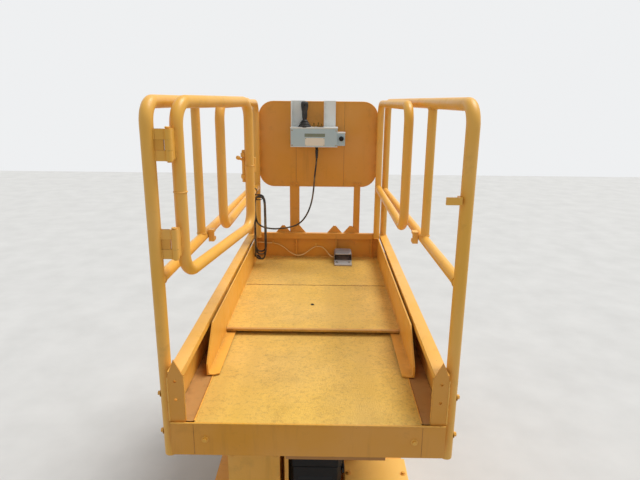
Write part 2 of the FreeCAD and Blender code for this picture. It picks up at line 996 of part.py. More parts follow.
def front_wall():
    top = deck_top + slide_rise + front_wall_high
    low = deck_top + slide_gap
    front = slide_front + front_sheet
    wall = block("front_plate", (-web_in - web_sheet, web_in + web_sheet), (slide_front, front), (low, top))
    flange = block(
        "front_flange_bar",
        (slide_tube + 2 - slide_rail_side, slide_rail_side - slide_tube - 2),
        (front - front_flange, front),
        (top - front_sheet, top),
    )
    lip = block(
        "front_lip_bar",
        (slide_tube + 2 - slide_rail_side, slide_rail_side - slide_tube - 2),
        (front - front_flange, front - front_flange + front_sheet),
        (top - front_lip, top),
    )
    ribs = [
        block(
            "front_rib_%d" % index,
            (side - 3, side + 3),
            (slide_front - 16, slide_front),
            (deck_top + slide_rise, top - front_sheet),
        )
        for index, side in enumerate((-134, 120, 345))
    ]
    lugs = [
        plate(
            "front_lug_%d" % index,
            "XZ_Plane",
            [
                (side - lug_half, top),
                (side + lug_half, top),
                (side + 8, top + lug_high),
                (side - 8, top + lug_high),
            ],
            slide_front,
            front,
        )
        for index, side in enumerate((-216, -120, 109, 211))
    ]
    node("front_wall", fuse("front_fused", [wall, flange, lip] + ribs + lugs))


def slide_rail(label, side):
    """A lower rail, a rear upright, a top rail and a front post: one closed bend of tube."""
    deck = deck_top.value
    across, back = side * slide_rail_side.value, side * slide_rail_back_side.value
    rear, front = slide_rear.value, slide_post_y.value
    top, low = deck + slide_rail_top.value, deck + slide_rail_low.value
    foot = deck + slide_gap.value + web_high.value
    radius = slide_tube.value
    bend = 70
    points = [V(across, front, low), V(back, rear, low), V(back, rear, top), V(across, front, top)]
    loop = bent(points + [V(across, front, foot)], radius, bend)[0]
    node("slide_rail_" + label, shaped("slide_rail_%s_shape" % label, loop.removeSplitter()))


def rounded_plate(name, half, low, high, corner, front, back):
    """An upright plate with round corners, its sides straight and its corners a quarter of a ring."""
    wide = block(name + "_wide", (-half, half), (front, back), (low + corner, high - corner))
    tall = block(name + "_tall", (corner - half, half - corner), (front, back), (low, high))
    corners = [
        rod("%s_corner_%d%d" % (name, right, up), "y", front, back, (across, height), corner)
        for right, across in enumerate((corner - half, half - corner))
        for up, height in enumerate((low + corner, high - corner))
    ]
    return fuse(name, [wide, tall] + corners)


def front_panel():
    face = slide_front + front_sheet
    low, high = deck_top + panel_low, deck_top + panel_top
    panel = rounded_plate("panel", panel_half, low, high, panel_corner, face, face + front_sheet)
    bars = []
    for name, left, right in (("left", -174, -114), ("right", 225, 265)):
        bars.append(
            block("panel_bar_" + name, (left, right), (face, face + front_sheet), (deck_top + 90, low))
        )
    node("front_panel", fuse("panel_fused", [panel] + bars))


def control_box():
    face = slide_front + front_sheet
    low = deck_top + box_low
    high = low + box_high
    right = box_left + box_wide
    body = block("box_body", (box_left, right), (face - box_deep, face), (low, high))
    side = block("box_side", (right, right + 45), (face - box_deep + 10, face - 50), (low + 6, low + 82))
    node("control_box", fuse("box_fused", [body, side]))
    parts = []
    span = (high, high + guard_high)
    for name, left, wide in (("left", box_left + 2, 80), ("right", right - 81, 70)):
        parts.append(block("guard_back_" + name, (left, left + wide), (face - 34, face - 30), span))
        parts.append(block("guard_cheek_" + name, (left, left + 4), (face - 104, face - 30), span))
    node("control_guards", group("guard_set", [fuse("guard_l", parts[:2]), fuse("guard_r", parts[2:])]))
    stick = Part.makeCone(35, 15, 34).fuse(
        [
            Part.makeCone(14, 16, 60, V(0, 0, 30)),
            Part.makeCone(16, 21, 40, V(0, 0, 88)),
            Part.makeCylinder(21, 24, V(0, 0, 124)),
        ]
    )
    lever = shaped("lever_shape", stick.removeSplitter())
    put(lever, -79, face - 72, high)
    knobs = [
        rod("knob_%d" % index, "z", high, high + tall, (across, face - 66), radius)
        for index, (across, tall, radius) in enumerate(((-24, 20, 11), (2, 26, 9), (21, 14, 8)))
    ]
    node("control_levers", group("levers", [lever] + knobs))
    gland = doc.addObject("Part::Cone", "gland")
    gland.Radius1 = 7
    gland.Radius2 = 11
    gland.Height = 22
    put(gland, cord_exit_x, cord_exit_y, low - 22)


def foot_switch():
    floor = deck_top + slide_rise
    hood = plate(
        "hood",
        "YZ_Plane",
        [
            (700, floor),
            (800, floor),
            (800, floor + 62),
            (784, floor + 75),
            (740, floor + 74),
            (700, floor + 62),
        ],
        107,
        215,
    )
    mouth = plate(
        "mouth",
        "YZ_Plane",
        [
            (699, floor + 5),
            (795, floor + 5),
            (795, floor + 59),
            (781, floor + 70),
            (741, floor + 69),
            (699, floor + 57),
        ],
        112,
        210,
    )
    tongue = plate(
        "tongue",
        "YZ_Plane",
        [(641, floor), (702, floor), (702, floor + 22), (648, floor + 12), (641, floor + 8)],
        107,
        215,
    )
    pedal = plate(
        "pedal",
        "YZ_Plane",
        [(701, floor + 5), (790, floor + 5), (790, floor + 38), (701, floor + 20)],
        118,
        204,
    )
    node("foot_switch", fuse("foot_switch_set", [cut("hood_cut", hood, [mouth]), tongue, pedal]))


# Points of the control cord and of the foot switch cable, chosen by hand
CORD = [
    (-7, 782, 1686),
    (-7, 782, 1648),
    (-9, 780, 1606),
    (-15, 782, 1558),
    (-20, 787, 1508),
    (-24, 790, 1452),
    (-30, 790, 1398),
    (-42, 789, 1344),
    (-62, 788, 1292),
    (-92, 789, 1246),
    (-130, 794, 1216),
    (-176, 792, 1202),
    (-222, 786, 1196),
    (-266, 772, 1196),
    (-300, 744, 1212),
    (-318, 706, 1232),
    (-328, 662, 1248),
]
CORD_TAIL = [
    (-334, 634, 1040),
    (-336, 648, 1024),
    (-339, 666, 1020),
    (-343, 680, 1032),
    (-350, 682, 1053),
    (-381.6, 682, 1053),
]
SWITCH_CABLE = [
    (-381.6, 814, 1098),
    (-356, 815, 1097),
    (-320, 822, 1092),
    (-282, 826, 1091),
    (-244, 826.5, 1082),
    (-206, 826, 1058),
    (-172, 823, 1028),
    (-128, 807, 1012),
    (-84, 808, 1022),
    (-44, 820, 1052),
    (-8, 826, 1072),
    (32, 826.5, 1068),
    (58, 820, 1044),
    (78, 804, 1022),
    (92, 788, 1014),
    (104.6, 781, 1014),
]


def hose(name, points, radius):
    """A flexible line along its points, each corner as wide as its two runs allow."""
    solid, length, radii = bent([V(*point) for point in points], radius, None)
    wanted = math.pi * radius * radius * length
    ratio = solid.Volume / wanted
    print("%s: length %.0f, tightest bend %.0f, volume ratio %.4f" % (name, length, min(radii), ratio))
    return shaped(name, solid)


def cords():
    node("control_cord", hose("cord_tube", CORD, cord_round))
    node("cord_tail", hose("tail_tube", CORD_TAIL, cord_round))
    hank = plate(
        "hank_body",
        "XZ_Plane",
        [
            (-372, 1433),
            (-340, 1433),
            (-318, 1300),
            (-298, 1150),
            (-296, 1070),
            (-312, 1038),
            (-336, 1030),
            (-356, 1044),
            (-366, 1090),
            (-368, 1200),
        ],
        606,
        662,
    )
    node("cord_hank", hank)
    node("switch_cable", hose("switch_tube", SWITCH_CABLE, 3.5))
    socket = rod("socket", "x", -382, -376, (682, 1053), 12)
    hole = rod("socket_hole", "x", -383, -375, (682, 1053), cord_round + 1)
    gland = doc.getObject("gland")
    node("cord_glands", group("glands", [gland, cut("socket_ring", socket, [hole])]))


# Swing gate, folded back inside the left rail
def gate():
    deck = deck_top.value
    reach = hinge_reach.value
    far = reach + gate_long.value - 2 * tube_round.value
    top, low = deck + rail_high.value, deck + gate_low.value
    radius = tube_round.value
    seam, far_seam = (top + low) / 2, low + 2 * gate_bend.value
    halves = []
    for edge in (top, low):
        points = [V(reach, 0, seam), V(reach, 0, edge), V(far, 0, edge), V(far, 0, far_seam)]
        halves.append(bent(points, radius, gate_bend.value)[0])
    leaves = []
    half = hinge_high.value / 6
    for index, drop in enumerate(hinge_drops):
        height = deck + rail_high.value - drop
        leaf = Part.makeBox(reach - radius + 4, 6, 2 * half, V(0, -3, height - half))
        wing_start = hinge_round.value + 6
        wing_end = reach - radius + 4
        wing = Part.makeBox(wing_end - wing_start, 6, 6 * half - 6, V(wing_start, -3, height - 3 * half + 3))
        barrel = Part.makeCylinder(hinge_round.value, 2 * half, V(0, 0, height - half))
        hole = Part.makeCylinder(6 + run_gap.value, 2 * half + 2, V(0, 0, height - half - 1))
        leaves.append(leaf.fuse([wing, barrel]).cut(hole))
    latch_height = deck + rail_high.value - latch_drop.value
    latch = Part.makeBox(latch_reach.value, 6, 60, V(far + radius - 2, -3, latch_height - 30))
    pin = Part.makeCylinder(8, 60, V(far + radius + latch_reach.value - 17, 0, latch_height - 30))
    whole = halves[0].fuse([halves[1]] + leaves + [latch, pin]).removeSplitter()
    part = shaped("gate_shape", whole)
    part.Placement = FreeCAD.Placement(V(), FreeCAD.Rotation(V(0, 0, 1), gate_open.value))
    put(part, -hinge_side, near_post_y, 0)
    node("swing_gate", part)


def gate_hinges():
    """Hinge ears with their pins on the left near post, and the latch catch on the right one."""
    parts = []
    for index, drop in enumerate(hinge_drops):
        height = deck_top + rail_high - drop
        ear = hinge_high / 3 - seat_gap
        for tag, low in (("low", height - hinge_high / 2), ("high", height + hinge_high / 6 + seat_gap)):
            knuckle_part = rod(
                "ear_%s_%d" % (tag, index), "z", low, low + ear, (-hinge_side, near_post_y), hinge_round
            )
            arm = block(
                "ear_arm_%s_%d" % (tag, index),
                (0 - near_post_side + tube_round - 3, -hinge_side),
                (near_post_y - 4, near_post_y + 4),
                (low, low + ear),
            )
            parts += [knuckle_part, arm]
        parts.append(
            rod(
                "hinge_pin_%d" % index,
                "z",
                height - hinge_high / 2 - 4,
                height + hinge_high / 2 + 4,
                (-hinge_side, near_post_y),
                6,
            )
        )
    post = doc.getObject("main_rail_left_shape")
    hinges = fuse("hinges", parts)
    node("gate_hinges", cut("hinges_cut", hinges, [post]))
    height = deck_top + rail_high - latch_drop
    tongue = block(
        "keeper", (396, near_post_side - tube_round - seat_gap), (-884, -876), (height - 11, height + 11)
    )
    lug = block(
        "keeper_lug",
        (near_post_side - tube_round - 8, near_post_side - tube_round - seat_gap),
        (-884, -850),
        (height - 11, height + 11),
    )
    keeper = fuse("catch_plate", [tongue, lug])
    node("rail_catches", group("catches", [rail_catches(), keeper]))


# Values that follow from the driving dimensions
deck_under = deck_top - deck_sheet
rest_tilt = math.degrees(math.asin(level_rise.value / link_long.value))
top_pivot = base_pivot + levels * level_rise
inner_out = inner_side + arm_thick
outer_in = inner_out + arm_gap
outer_out = outer_in + arm_thick
track_in = outer_out + arm_gap
track_out = track_in + track_deep
roller_out = track_out - track_wall - 2
track_start = 150
ladder_y = -chassis_end - 14
door_axis_x = chassis_half - 1
door_axis_z = tray_low - 6 - seat_gap
hinge_drops = (120, 415)
cord_exit_x = -7
cord_exit_y = 782
cord_round = 5

chassis()
trays()
tray_door("right", 1)
tray_door("left", -1)
rear_units()
ladder()
tie_downs()
for place, toward in (("right", 1), ("left", -1)):
    knuckle(place, toward)
    wheel("front_" + place, toward, axle_y)
    wheel("rear_" + place, toward, -axle_y)
for number in range(1, levels + 1):
    outer_arms(number)
    inner_arms(number)
rollers("lower_rollers", base_pivot)
rollers("upper_rollers", top_pivot)
lift_cylinder()
platform()
for place, toward in (("right", 1), ("left", -1)):
    main_rail(place, toward)
    slide_rail(place, toward)
slide_deck()
front_wall()
front_panel()
control_box()
foot_switch()
cords()
gate()
gate_hinges()

doc.recompute()
for item in doc.Objects:
    if "Invalid" in item.State or "Error" in item.State:
        raise RuntimeError("%s failed: %s" % (item.Label, item.State))
for item in NODES:
    if item.Shape.isNull() or not item.Shape.isValid() or not item.Shape.Solids:
        raise RuntimeError("%s has no valid shape" % item.Label)

os.makedirs("parts", exist_ok=True)
for item in NODES:
    item.Shape.exportStep("parts/%s.step" % item.Label)
print("%d nodes, %d solids" % (len(NODES), sum(len(item.Shape.Solids) for item in NODES)))
whole = Part.makeCompound([item.Shape for item in NODES]).BoundBox
print("box X %.1f %.1f Y %.1f %.1f" % (whole.XMin, whole.XMax, whole.YMin, whole.YMax))
print("box Z %.1f %.1f" % (whole.ZMin, whole.ZMax))
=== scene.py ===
import math

import bmesh
import bpy
from mathutils import Matrix, Vector


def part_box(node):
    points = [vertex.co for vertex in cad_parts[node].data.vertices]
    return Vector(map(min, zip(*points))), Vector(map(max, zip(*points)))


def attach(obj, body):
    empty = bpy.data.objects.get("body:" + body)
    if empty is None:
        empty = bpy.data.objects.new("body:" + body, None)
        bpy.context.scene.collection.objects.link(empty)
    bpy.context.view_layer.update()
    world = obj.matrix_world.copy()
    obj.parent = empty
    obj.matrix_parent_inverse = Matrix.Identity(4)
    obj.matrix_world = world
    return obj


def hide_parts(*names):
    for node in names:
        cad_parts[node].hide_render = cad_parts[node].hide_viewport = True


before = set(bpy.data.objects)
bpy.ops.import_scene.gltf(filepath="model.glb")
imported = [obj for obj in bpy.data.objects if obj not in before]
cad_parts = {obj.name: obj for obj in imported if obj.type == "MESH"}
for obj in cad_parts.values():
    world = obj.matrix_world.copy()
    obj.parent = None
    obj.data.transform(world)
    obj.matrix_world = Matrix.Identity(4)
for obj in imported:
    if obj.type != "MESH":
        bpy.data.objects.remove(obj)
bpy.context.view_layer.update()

# The photograph's viewpoint
# A phone held about 1.4 m behind the gate opening, as high as the top rails, tilted down and a little askew.
# Its lens has 515 pixels of focal length over a picture 640 pixels wide.
scene = bpy.context.scene
shift = Matrix.Translation


def placed(name, data):
    """A new object in the scene."""
    made = bpy.data.objects.new(name, data)
    scene.collection.objects.link(made)
    return made


focal_pixels, photo_wide = 515, 640
tilt_down, turn_left, askew = (math.radians(degrees) for degrees in (15.13, 0.56, 0.5))
phone = bpy.data.cameras.new("phone")
phone.sensor_width = 36
phone.lens = phone.sensor_width * focal_pixels / photo_wide
viewpoint = placed("viewpoint", phone)
viewpoint.matrix_world = (
    shift((0.048, -2.344, 1.97))
    @ Matrix.Rotation(turn_left, 4, "Z")
    @ Matrix.Rotation(math.pi / 2 - tilt_down, 4, "X")
    @ Matrix.Rotation(askew, 4, "Z")
)
scene.camera = viewpoint


# Control cord with its hank
# A 10 mm black rubber cord hangs from the control box's gland and runs over to the left front corner.
# Its spare length is a loose hank strapped to the left slide-out rail, and its end enters the deck's web.
def feed(tree, node, feeds):
    """Feeds a node's sockets, each with a number, a colour or another node's socket."""
    for socket, value in feeds.items():
        if isinstance(value, bpy.types.NodeSocket):
            tree.links.new(value, node.inputs[socket])
        else:
            node.inputs[socket].default_value = value
    return node


def add(tree, kind, feeds=None, **settings):
    """One shader node, with its settings and what feeds its sockets."""
    made = tree.nodes.new("ShaderNode" + kind)
    for name, value in settings.items():
        setattr(made, name, value)
    return feed(tree, made, feeds or {})


def surface(name):
    """A new material and its Principled shader."""
    made = bpy.data.materials.new(name)
    made.use_nodes = True
    return made, made.node_tree, made.node_tree.nodes["Principled BSDF"]


def local(tree):
    return add(tree, "TexCoord").outputs["Object"]


def noise(tree, where, scale, detail=3.0, rough=0.55):
    feeds = {"Vector": where, "Scale": scale, "Detail": detail, "Roughness": rough}
    return add(tree, "TexNoise", feeds).outputs["Fac"]


def ramp(tree, value, low, high, to_low=0.0, to_high=1.0):
    feeds = {"Value": value, "From Min": low, "From Max": high, "To Min": to_low, "To Max": to_high}
    return add(tree, "MapRange", feeds).outputs["Result"]


def mixed(tree, share, first, second):
    return add(tree, "Mix", {0: share, 6: first, 7: second}, data_type="RGBA").outputs[2]


def coat(tree, shader, colour, roughness, height=None, strength=0.0, depth=0.0):
    """Feeds a Principled shader its colour and roughness, and its normal where the surface has a relief."""
    feed(tree, shader, {"Base Color": colour, "Roughness": roughness})
    if depth:
        relief = add(tree, "Bump", {"Height": height, "Strength": strength, "Distance": depth})
        feed(tree, shader, {"Normal": relief.outputs["Normal"]})


def rubber(
    name, colour, dust, film=(24.0, 3.0, 0.55), full=0.66,
    dull=(220.0, 0.5, 0.72), grain=(900.0,), relief=(0.15, 0.001),
):
    """Rubber under a film of dust, with the noise where the film is full, the dullness and the grain."""
    made, tree, shader = surface(name)
    where = local(tree)
    covered = ramp(tree, noise(tree, where, *film), 0.4, full)
    roughness = ramp(tree, noise(tree, where, dull[0]), 0.3, 0.7, *dull[1:])
    coat(tree, shader, mixed(tree, covered, colour, dust), roughness, noise(tree, where, *grain), *relief)
    return made


def line_of(name, runs, thick, kind="NURBS", rounding=4, steps=12, swell=None):
    """A round line of a given radius through runs of points, each with whether it closes on itself."""
    line = bpy.data.curves.new(name, "CURVE")
    line.dimensions = "3D"
    line.bevel_depth = thick
    line.bevel_resolution = rounding
    line.use_fill_caps = kind == "NURBS"
    for points, closed in runs:
        spline = line.splines.new(kind)
        spline.points.add(len(points) - 1)
        for k, (made, point) in enumerate(zip(spline.points, points)):
            made.co = (*point, 1)
            if swell:
                made.radius = swell(k)
        spline.use_cyclic_u = closed
        if kind == "NURBS":
            spline.order_u = 3
            spline.use_endpoint_u = True
            spline.resolution_u = steps
    return placed(name, line)


cord_thick = 0.01
cord_route = [
    (-0.007, 0.782, 1.686), (-0.007, 0.782, 1.648), (-0.009, 0.78, 1.606), (-0.015, 0.782, 1.558),
    (-0.02, 0.787, 1.508), (-0.024, 0.79, 1.452), (-0.03, 0.79, 1.398), (-0.042, 0.789, 1.344),
    (-0.062, 0.788, 1.292), (-0.092, 0.789, 1.246), (-0.13, 0.794, 1.216), (-0.176, 0.792, 1.202),
    (-0.222, 0.786, 1.196), (-0.266, 0.772, 1.196), (-0.3, 0.744, 1.206), (-0.326, 0.706, 1.222),
    (-0.346, 0.664, 1.246), (-0.362, 0.63, 1.28),
]
hank_x, hank_y, hank_top, hank_low = -0.3375, 0.613, 1.428, 1.048
hank_turns, turn_pitch = 3, 0.0112
fold_round = 0.03
fold = fold_round / math.cos(math.pi / 8)


def folded(corner, along, middle):
    """One of the octagon's corners round which the cord folds."""
    angle = corner * math.pi / 8
    return (hank_x + fold * math.cos(angle), along, middle + fold * math.sin(angle))


for turn in range(hank_turns + 1):
    lift, sag, fan = 0.004 * (turn % 2), 0.02 * (turn * 2 % 3), 0.0045 * (turn * 3 % 4)
    for corner in (7, 5, 3, 1):
        along = hank_y + turn_pitch * (turn + (7 - corner) / 24)
        cord_route.append(folded(corner, along, hank_top - lift - fold_round))
    if turn == hank_turns:
        break
    for side, heights in ((1, (1.3, 1.18)), (-1, (1.17, 1.29))):
        for height in heights:
            along = hank_y + turn_pitch * (turn + 0.5 - side * 0.2) + fan * (1.42 - height)
            cord_route.append((hank_x + side * (fold_round + fan * (1.36 - height)), along, height))
        if side == 1:
            along = hank_y + turn_pitch * (turn + 0.5) + fan
            cord_route += [folded(corner, along, hank_low + sag + fold_round) for corner in (-1, -3, -5, -7)]
cord_route += [
    (-0.307, 0.654, 1.3), (-0.306, 0.657, 1.18), (-0.309, 0.66, 1.08), (-0.322, 0.666, 1.036),
    (-0.342, 0.676, 1.028), (-0.358, 0.682, 1.05), (-0.3816, 0.682, 1.053),
]
cord_rubber = rubber("cord rubber", (0.022, 0.019, 0.016, 1), (0.22, 0.165, 0.095, 1))
control_cord = line_of("control_cord_run", [(cord_route, False)], cord_thick / 2, steps=6)
control_cord.data.materials.append(cord_rubber)
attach(control_cord, "slide_out_deck")
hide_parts("control_cord", "cord_tail", "cord_hank")
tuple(cord_route[0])


# Strap and strain relief of the cord
# A woven hook-and-loop strap holds the hank under the rail.
# A tapered sleeve of ribbed rubber, pushed on the gland, guards the cord where it leaves the box.
def settle(piece, body, material):
    """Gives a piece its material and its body."""
    piece.data.materials.append(material)
    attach(piece, body)
    return piece


def finish_mesh(name, made, body, material, bevel=0.0):
    """Turns a mesh in the making into a piece that rides on its body, with its edges broken where asked."""
    bmesh.ops.recalc_face_normals(made, faces=made.faces)
    mesh = bpy.data.meshes.new(name)
    made.to_mesh(mesh)
    made.free()
    piece = placed(name, mesh)
    if bevel:
        broken = piece.modifiers.new("broken edges", "BEVEL")
        broken.width = bevel
        broken.segments = 2
        broken.limit_method = "ANGLE"
        broken.angle_limit = math.radians(35)
    return settle(piece, body, material)


def circle(spot, radius, height, sides, stretch=(1.0, 1.0)):
    """Points round the local Z of a spot."""
    across, along = radius * stretch[0], radius * stretch[1]
    turns = [2 * math.pi * k / sides for k in range(sides)]
    return [spot @ Vector((across * math.cos(turn), along * math.sin(turn), height)) for turn in turns]


def skin(made, rings, ring_shaped=False):
    """Adds a closed form through rings of points, with a face at each end or bent back to its first ring."""
    rings = [[made.verts.new(point) for point in ring] for ring in rings]
    for low, high in zip(rings, rings[1:] + rings[:1] if ring_shaped else rings[1:]):
        for k in range(max(len(low), len(high))):
            steps = ((low, k), (low, k + 1), (high, k + 1), (high, k))
            made.faces.new(list(dict.fromkeys(ring[step % len(ring)] for ring, step in steps)))
    if not ring_shaped:
        for ring in (rings[0], rings[-1]):
            if len(ring) > 2:
                made.faces.new(ring)


def lathe(made, profile, spot, sides=24):
    """Adds a turned form: (radius, height) pairs spun about the local Z of a spot."""
    skin(made, [circle(spot, radius, height, sides if radius else 1) for radius, height in profile])


def turned(name, body, material, profile, spot, sides=24, bevel=0.0):
    """A piece that is one turned form."""
    made = bmesh.new()
    lathe(made, profile, spot, sides)
    return finish_mesh(name, made, body, material, bevel)


def facing(where, axis):
    """The spot at a point whose local Z looks along an axis."""
    turn = Vector((0, 0, 1)).rotation_difference(Vector(axis)).to_matrix().to_4x4()
    return shift(Vector(where)) @ turn


def loop_band(made, centre, axis, inside, thick, wide, stretch=(1.0, 1.0), sides=40):
    """Adds a flat band bent into a ring round an axis."""
    spot = facing(centre, axis)
    outside, half = inside + thick, wide / 2
    outline = ((inside, -half), (outside, -half), (outside, half), (inside, half))
    skin(made, [circle(spot, radius, height, sides, stretch) for radius, height in outline], True)


def sums(tree, operation, first, second):
    return add(tree, "Math", {0: first, 1: second}, operation=operation).outputs[0]


webbing, tree, shader = surface("strap webbing")
where = local(tree)
across = add(tree, "TexWave", {"Vector": where, "Scale": 260.0}, bands_direction="Y").outputs["Fac"]
along = add(tree, "TexWave", {"Vector": where, "Scale": 200.0}, bands_direction="Z").outputs["Fac"]
weave = sums(tree, "MULTIPLY", across, along)
threads = mixed(tree, weave, (0.01, 0.01, 0.011, 1), (0.045, 0.043, 0.04, 1))
coat(tree, shader, threads, ramp(tree, weave, 0.0, 1.0, 0.9, 0.75), weave, 0.5, 0.0008)
strap_thick, strap_wide = 0.0016, 0.02
strap = bmesh.new()
loop_band(strap, (-0.3724, 0.634, 1.455), (0.0, 1.0, 0.0), 0.0194, strap_thick, strap_wide)
loop_band(strap, (-0.344, 0.634, 1.4215), (0.0, 1.0, 0.0), 0.015, strap_thick, strap_wide, (1.9, 1.0))
finish_mesh("hank_strap", strap, "slide_out_deck", webbing)
sleeve_rubber = rubber("strain relief rubber", (0.013, 0.013, 0.014, 1), (0.05, 0.048, 0.044, 1))
sleeve = [(0.0058, -0.05), (0.0072, -0.05)]
for rib in range(7):
    height, reach = -0.046 + rib * 0.0065, 0.0076 + rib * 0.00035
    sleeve += [(reach, height), (reach, height + 0.0042)]
    sleeve += [(reach - 0.0012, height + 0.0046), (reach - 0.0012, height + 0.0062)]
sleeve += [(0.0112, -0.0005), (0.0058, -0.0005)]
turned("strain_relief", "slide_out_deck", sleeve_rubber, sleeve, shift(cord_route[0]))


# Floor and light
# A plain pale floor under an even overcast sky, with one broad soft sun high on the right, a little ahead.
# The sky is drawn pale for the camera and for reflections, and lights the machine at a plain level.
def shown_rays(tree):
    """One where a ray comes from the camera, a reflection or a pane, and nought where it only lights."""
    rays = add(tree, "LightPath").outputs
    passed = sums(tree, "MAXIMUM", rays["Is Glossy Ray"], rays["Is Transmission Ray"])
    return sums(tree, "MAXIMUM", rays["Is Camera Ray"], passed)


world = bpy.data.worlds.new("sky")
scene.world = world
world.use_nodes = True
sky = world.node_tree
sky_light = 0.54
sky_shown = ramp(sky, shown_rays(sky), 0.0, 1.0, sky_light, 1.0)
feed(sky, sky.nodes["Background"], {"Color": (0.86, 0.87, 0.88, 1), "Strength": sky_shown})
sun = bpy.data.lights.new("soft sun", "SUN")
sun.energy = 2.45
sun.angle = math.radians(32)
sun.color = (1.0, 0.985, 0.96)
placed("high_sun", sun).rotation_euler = (math.radians(-14), math.radians(24), 0)
scene.view_settings.view_transform = "Standard"

floor_half, floor_drop = 12.0, 0.0005
floor_mesh = bpy.data.meshes.new("floor")
floor_corners = ((-floor_half, -floor_half), (floor_half, -floor_half), (floor_half, floor_half))
floor_corners += ((-floor_half, floor_half),)
floor_mesh.from_pydata([(x, y, -floor_drop) for x, y in floor_corners], [], [(0, 1, 2, 3)])
pale, tree, shader = surface("pale floor")
clouds = ramp(tree, noise(tree, local(tree), 3.0), 0.3, 0.7)
pale_shown = mixed(tree, clouds, (0.6, 0.6, 0.59, 1), (0.66, 0.66, 0.65, 1))
coat(tree, shader, mixed(tree, shown_rays(tree), (0.34, 0.34, 0.33, 1), pale_shown), 0.85)
floor_mesh.materials.append(pale)
floor = placed("floor", floor_mesh)


# Yellow paint of the steelwork
# Orange-yellow enamel sprayed over the welded steel, some years old: faded in patches, streaked by rain,
# grimy and darkened with painted shade in the corners, and chipped to dark primer along the edges.
def srgb(*picked):
    """A colour as read off a picture, 0 to 255, as the shader's linear values."""
    return tuple(((v / 255 + 0.055) / 1.055) ** 2.4 if v > 10 else v / 255 / 12.92 for v in picked) + (1.0,)


primer = srgb(70, 52, 40)
weathered = bpy.data.node_groups.new("weathered enamel", "ShaderNodeTree")
colours = (("Paint", srgb(238, 174, 60)), ("Grime", srgb(120, 82, 36)), ("Under", primer))
for title, value in (*colours, ("Grime and shade share", 0.5), ("Chips", 0.5)):
    kind = "NodeSocketColor" if isinstance(value, tuple) else "NodeSocketFloat"
    weathered.interface.new_socket(title, in_out="INPUT", socket_type=kind).default_value = value
weathered.interface.new_socket("Color", in_out="OUTPUT", socket_type="NodeSocketColor")
for title in ("Roughness", "Height"):
    weathered.interface.new_socket(title, in_out="OUTPUT", socket_type="NodeSocketFloat")
tree = weathered
given, result = tree.nodes.new("NodeGroupInput").outputs, tree.nodes.new("NodeGroupOutput")
where = local(tree)
tone = ramp(tree, noise(tree, where, 2.3), 0.3, 0.7)
faded = add(tree, "HueSaturation", {"Saturation": 0.92, "Value": 1.05, "Color": given["Paint"]})
base = mixed(tree, tone, given["Paint"], faded.outputs["Color"])
rain = add(tree, "Mapping", {"Vector": where, "Scale": (16.0, 16.0, 1.3)}).outputs["Vector"]
streaks = ramp(tree, noise(tree, rain, 1.6, 5.0, 0.65), 0.58, 0.76, 0.0, 0.4)
blots = ramp(tree, noise(tree, where, 11.0, 7.0, 0.7), 0.58, 0.8, 0.0, 0.6)
# Painted shade: an ambient-occlusion mask darkens crevices and corners towards the grime colour in noisy
# patches, on top of the real rain streaks and blots.
crevice_shade = add(tree, "AmbientOcclusion", {"Distance": 0.04}, samples=4).outputs["AO"]
patches = ramp(tree, noise(tree, where, 22.0), 0.35, 0.6)
corner = sums(tree, "MULTIPLY", ramp(tree, crevice_shade, 0.3, 0.9, 1.0, 0.0), patches)
dirt_and_shade = sums(tree, "MAXIMUM", sums(tree, "MAXIMUM", streaks, blots), corner)
dirt_and_shade = sums(tree, "MULTIPLY", dirt_and_shade, given["Grime and shade share"])
dirty_and_shaded = mixed(tree, dirt_and_shade, base, given["Grime"])
worn_normal = add(tree, "Bevel", {"Radius": 0.003}, samples=4).outputs["Normal"]
flat_normal = add(tree, "NewGeometry").outputs["Normal"]
turn = add(tree, "VectorMath", {0: worn_normal, 1: flat_normal}, operation="DOT_PRODUCT").outputs["Value"]
broken = ramp(tree, noise(tree, where, 38.0, 5.0, 0.7), 0.52, 0.62)
edges = sums(tree, "MULTIPLY", ramp(tree, turn, 0.8, 0.98, 1.0, 0.0), broken)
spots = ramp(tree, noise(tree, where, 70.0, 4.0, 0.7), 0.72, 0.74)
chips = sums(tree, "MULTIPLY", sums(tree, "MAXIMUM", edges, spots), given["Chips"])
gloss = ramp(tree, noise(tree, where, 30.0), 0.3, 0.7, 0.34, 0.48)
gloss = sums(tree, "ADD", gloss, sums(tree, "MULTIPLY", dirt_and_shade, 0.35))
orange_peel = sums(tree, "MULTIPLY", noise(tree, where, 180.0), 0.25)
feed(
    tree,
    result,
    {
        "Color": mixed(tree, chips, dirty_and_shaded, given["Under"]),
        "Roughness": sums(tree, "ADD", gloss, sums(tree, "MULTIPLY", chips, 0.2)),
        "Height": sums(tree, "SUBTRACT", orange_peel, sums(tree, "MULTIPLY", chips, 0.5)),
    },
)


def enamel(name, paint, grime=0.5, chips=0.5, relief=0.0006, under=primer):
    """Weathered enamel over primer, or over whatever shows where it is chipped; grime sets both its grime and
    its painted corner shade.
    """
    made, tree, shader = surface(name)
    feeds = {"Paint": paint, "Under": under, "Grime and shade share": grime, "Chips": chips}
    film = add(tree, "Group", feeds, node_tree=weathered).outputs
    coat(tree, shader, film["Color"], film["Roughness"], film["Height"], 0.6, relief)
    return made


def dress(material, *names):
    for name in names:
        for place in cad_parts[name].material_slots:
            place.material = material


yellow = enamel("yellow enamel", srgb(244, 181, 60), 0.45, 0.55)
# Painted shade: a darker copy of the yellow for the fascia, front panel and front wall, which face away from
# the light.
yellow_painted_shade = enamel("yellow enamel with painted shade for the upright sheets", srgb(228, 156, 34), 0.45, 0.5)
yellow_low = enamel("yellow enamel of the chassis", srgb(238, 170, 42), 0.7, 0.7)
dress(yellow, *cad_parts)
dress(yellow_painted_shade, "rear_fascia", "front_panel", "front_wall")
dress(yellow_low, "chassis_hull", "chassis_top", "lower_tracks", "wheel_carriers", "side_trays")
dress(yellow_low, "entry_ladder", "tie_down_lugs")
dress(yellow_low, *("%s_arms_%d" % (kind, level) for kind in ("outer", "inner") for level in (1, 2, 3, 4)))
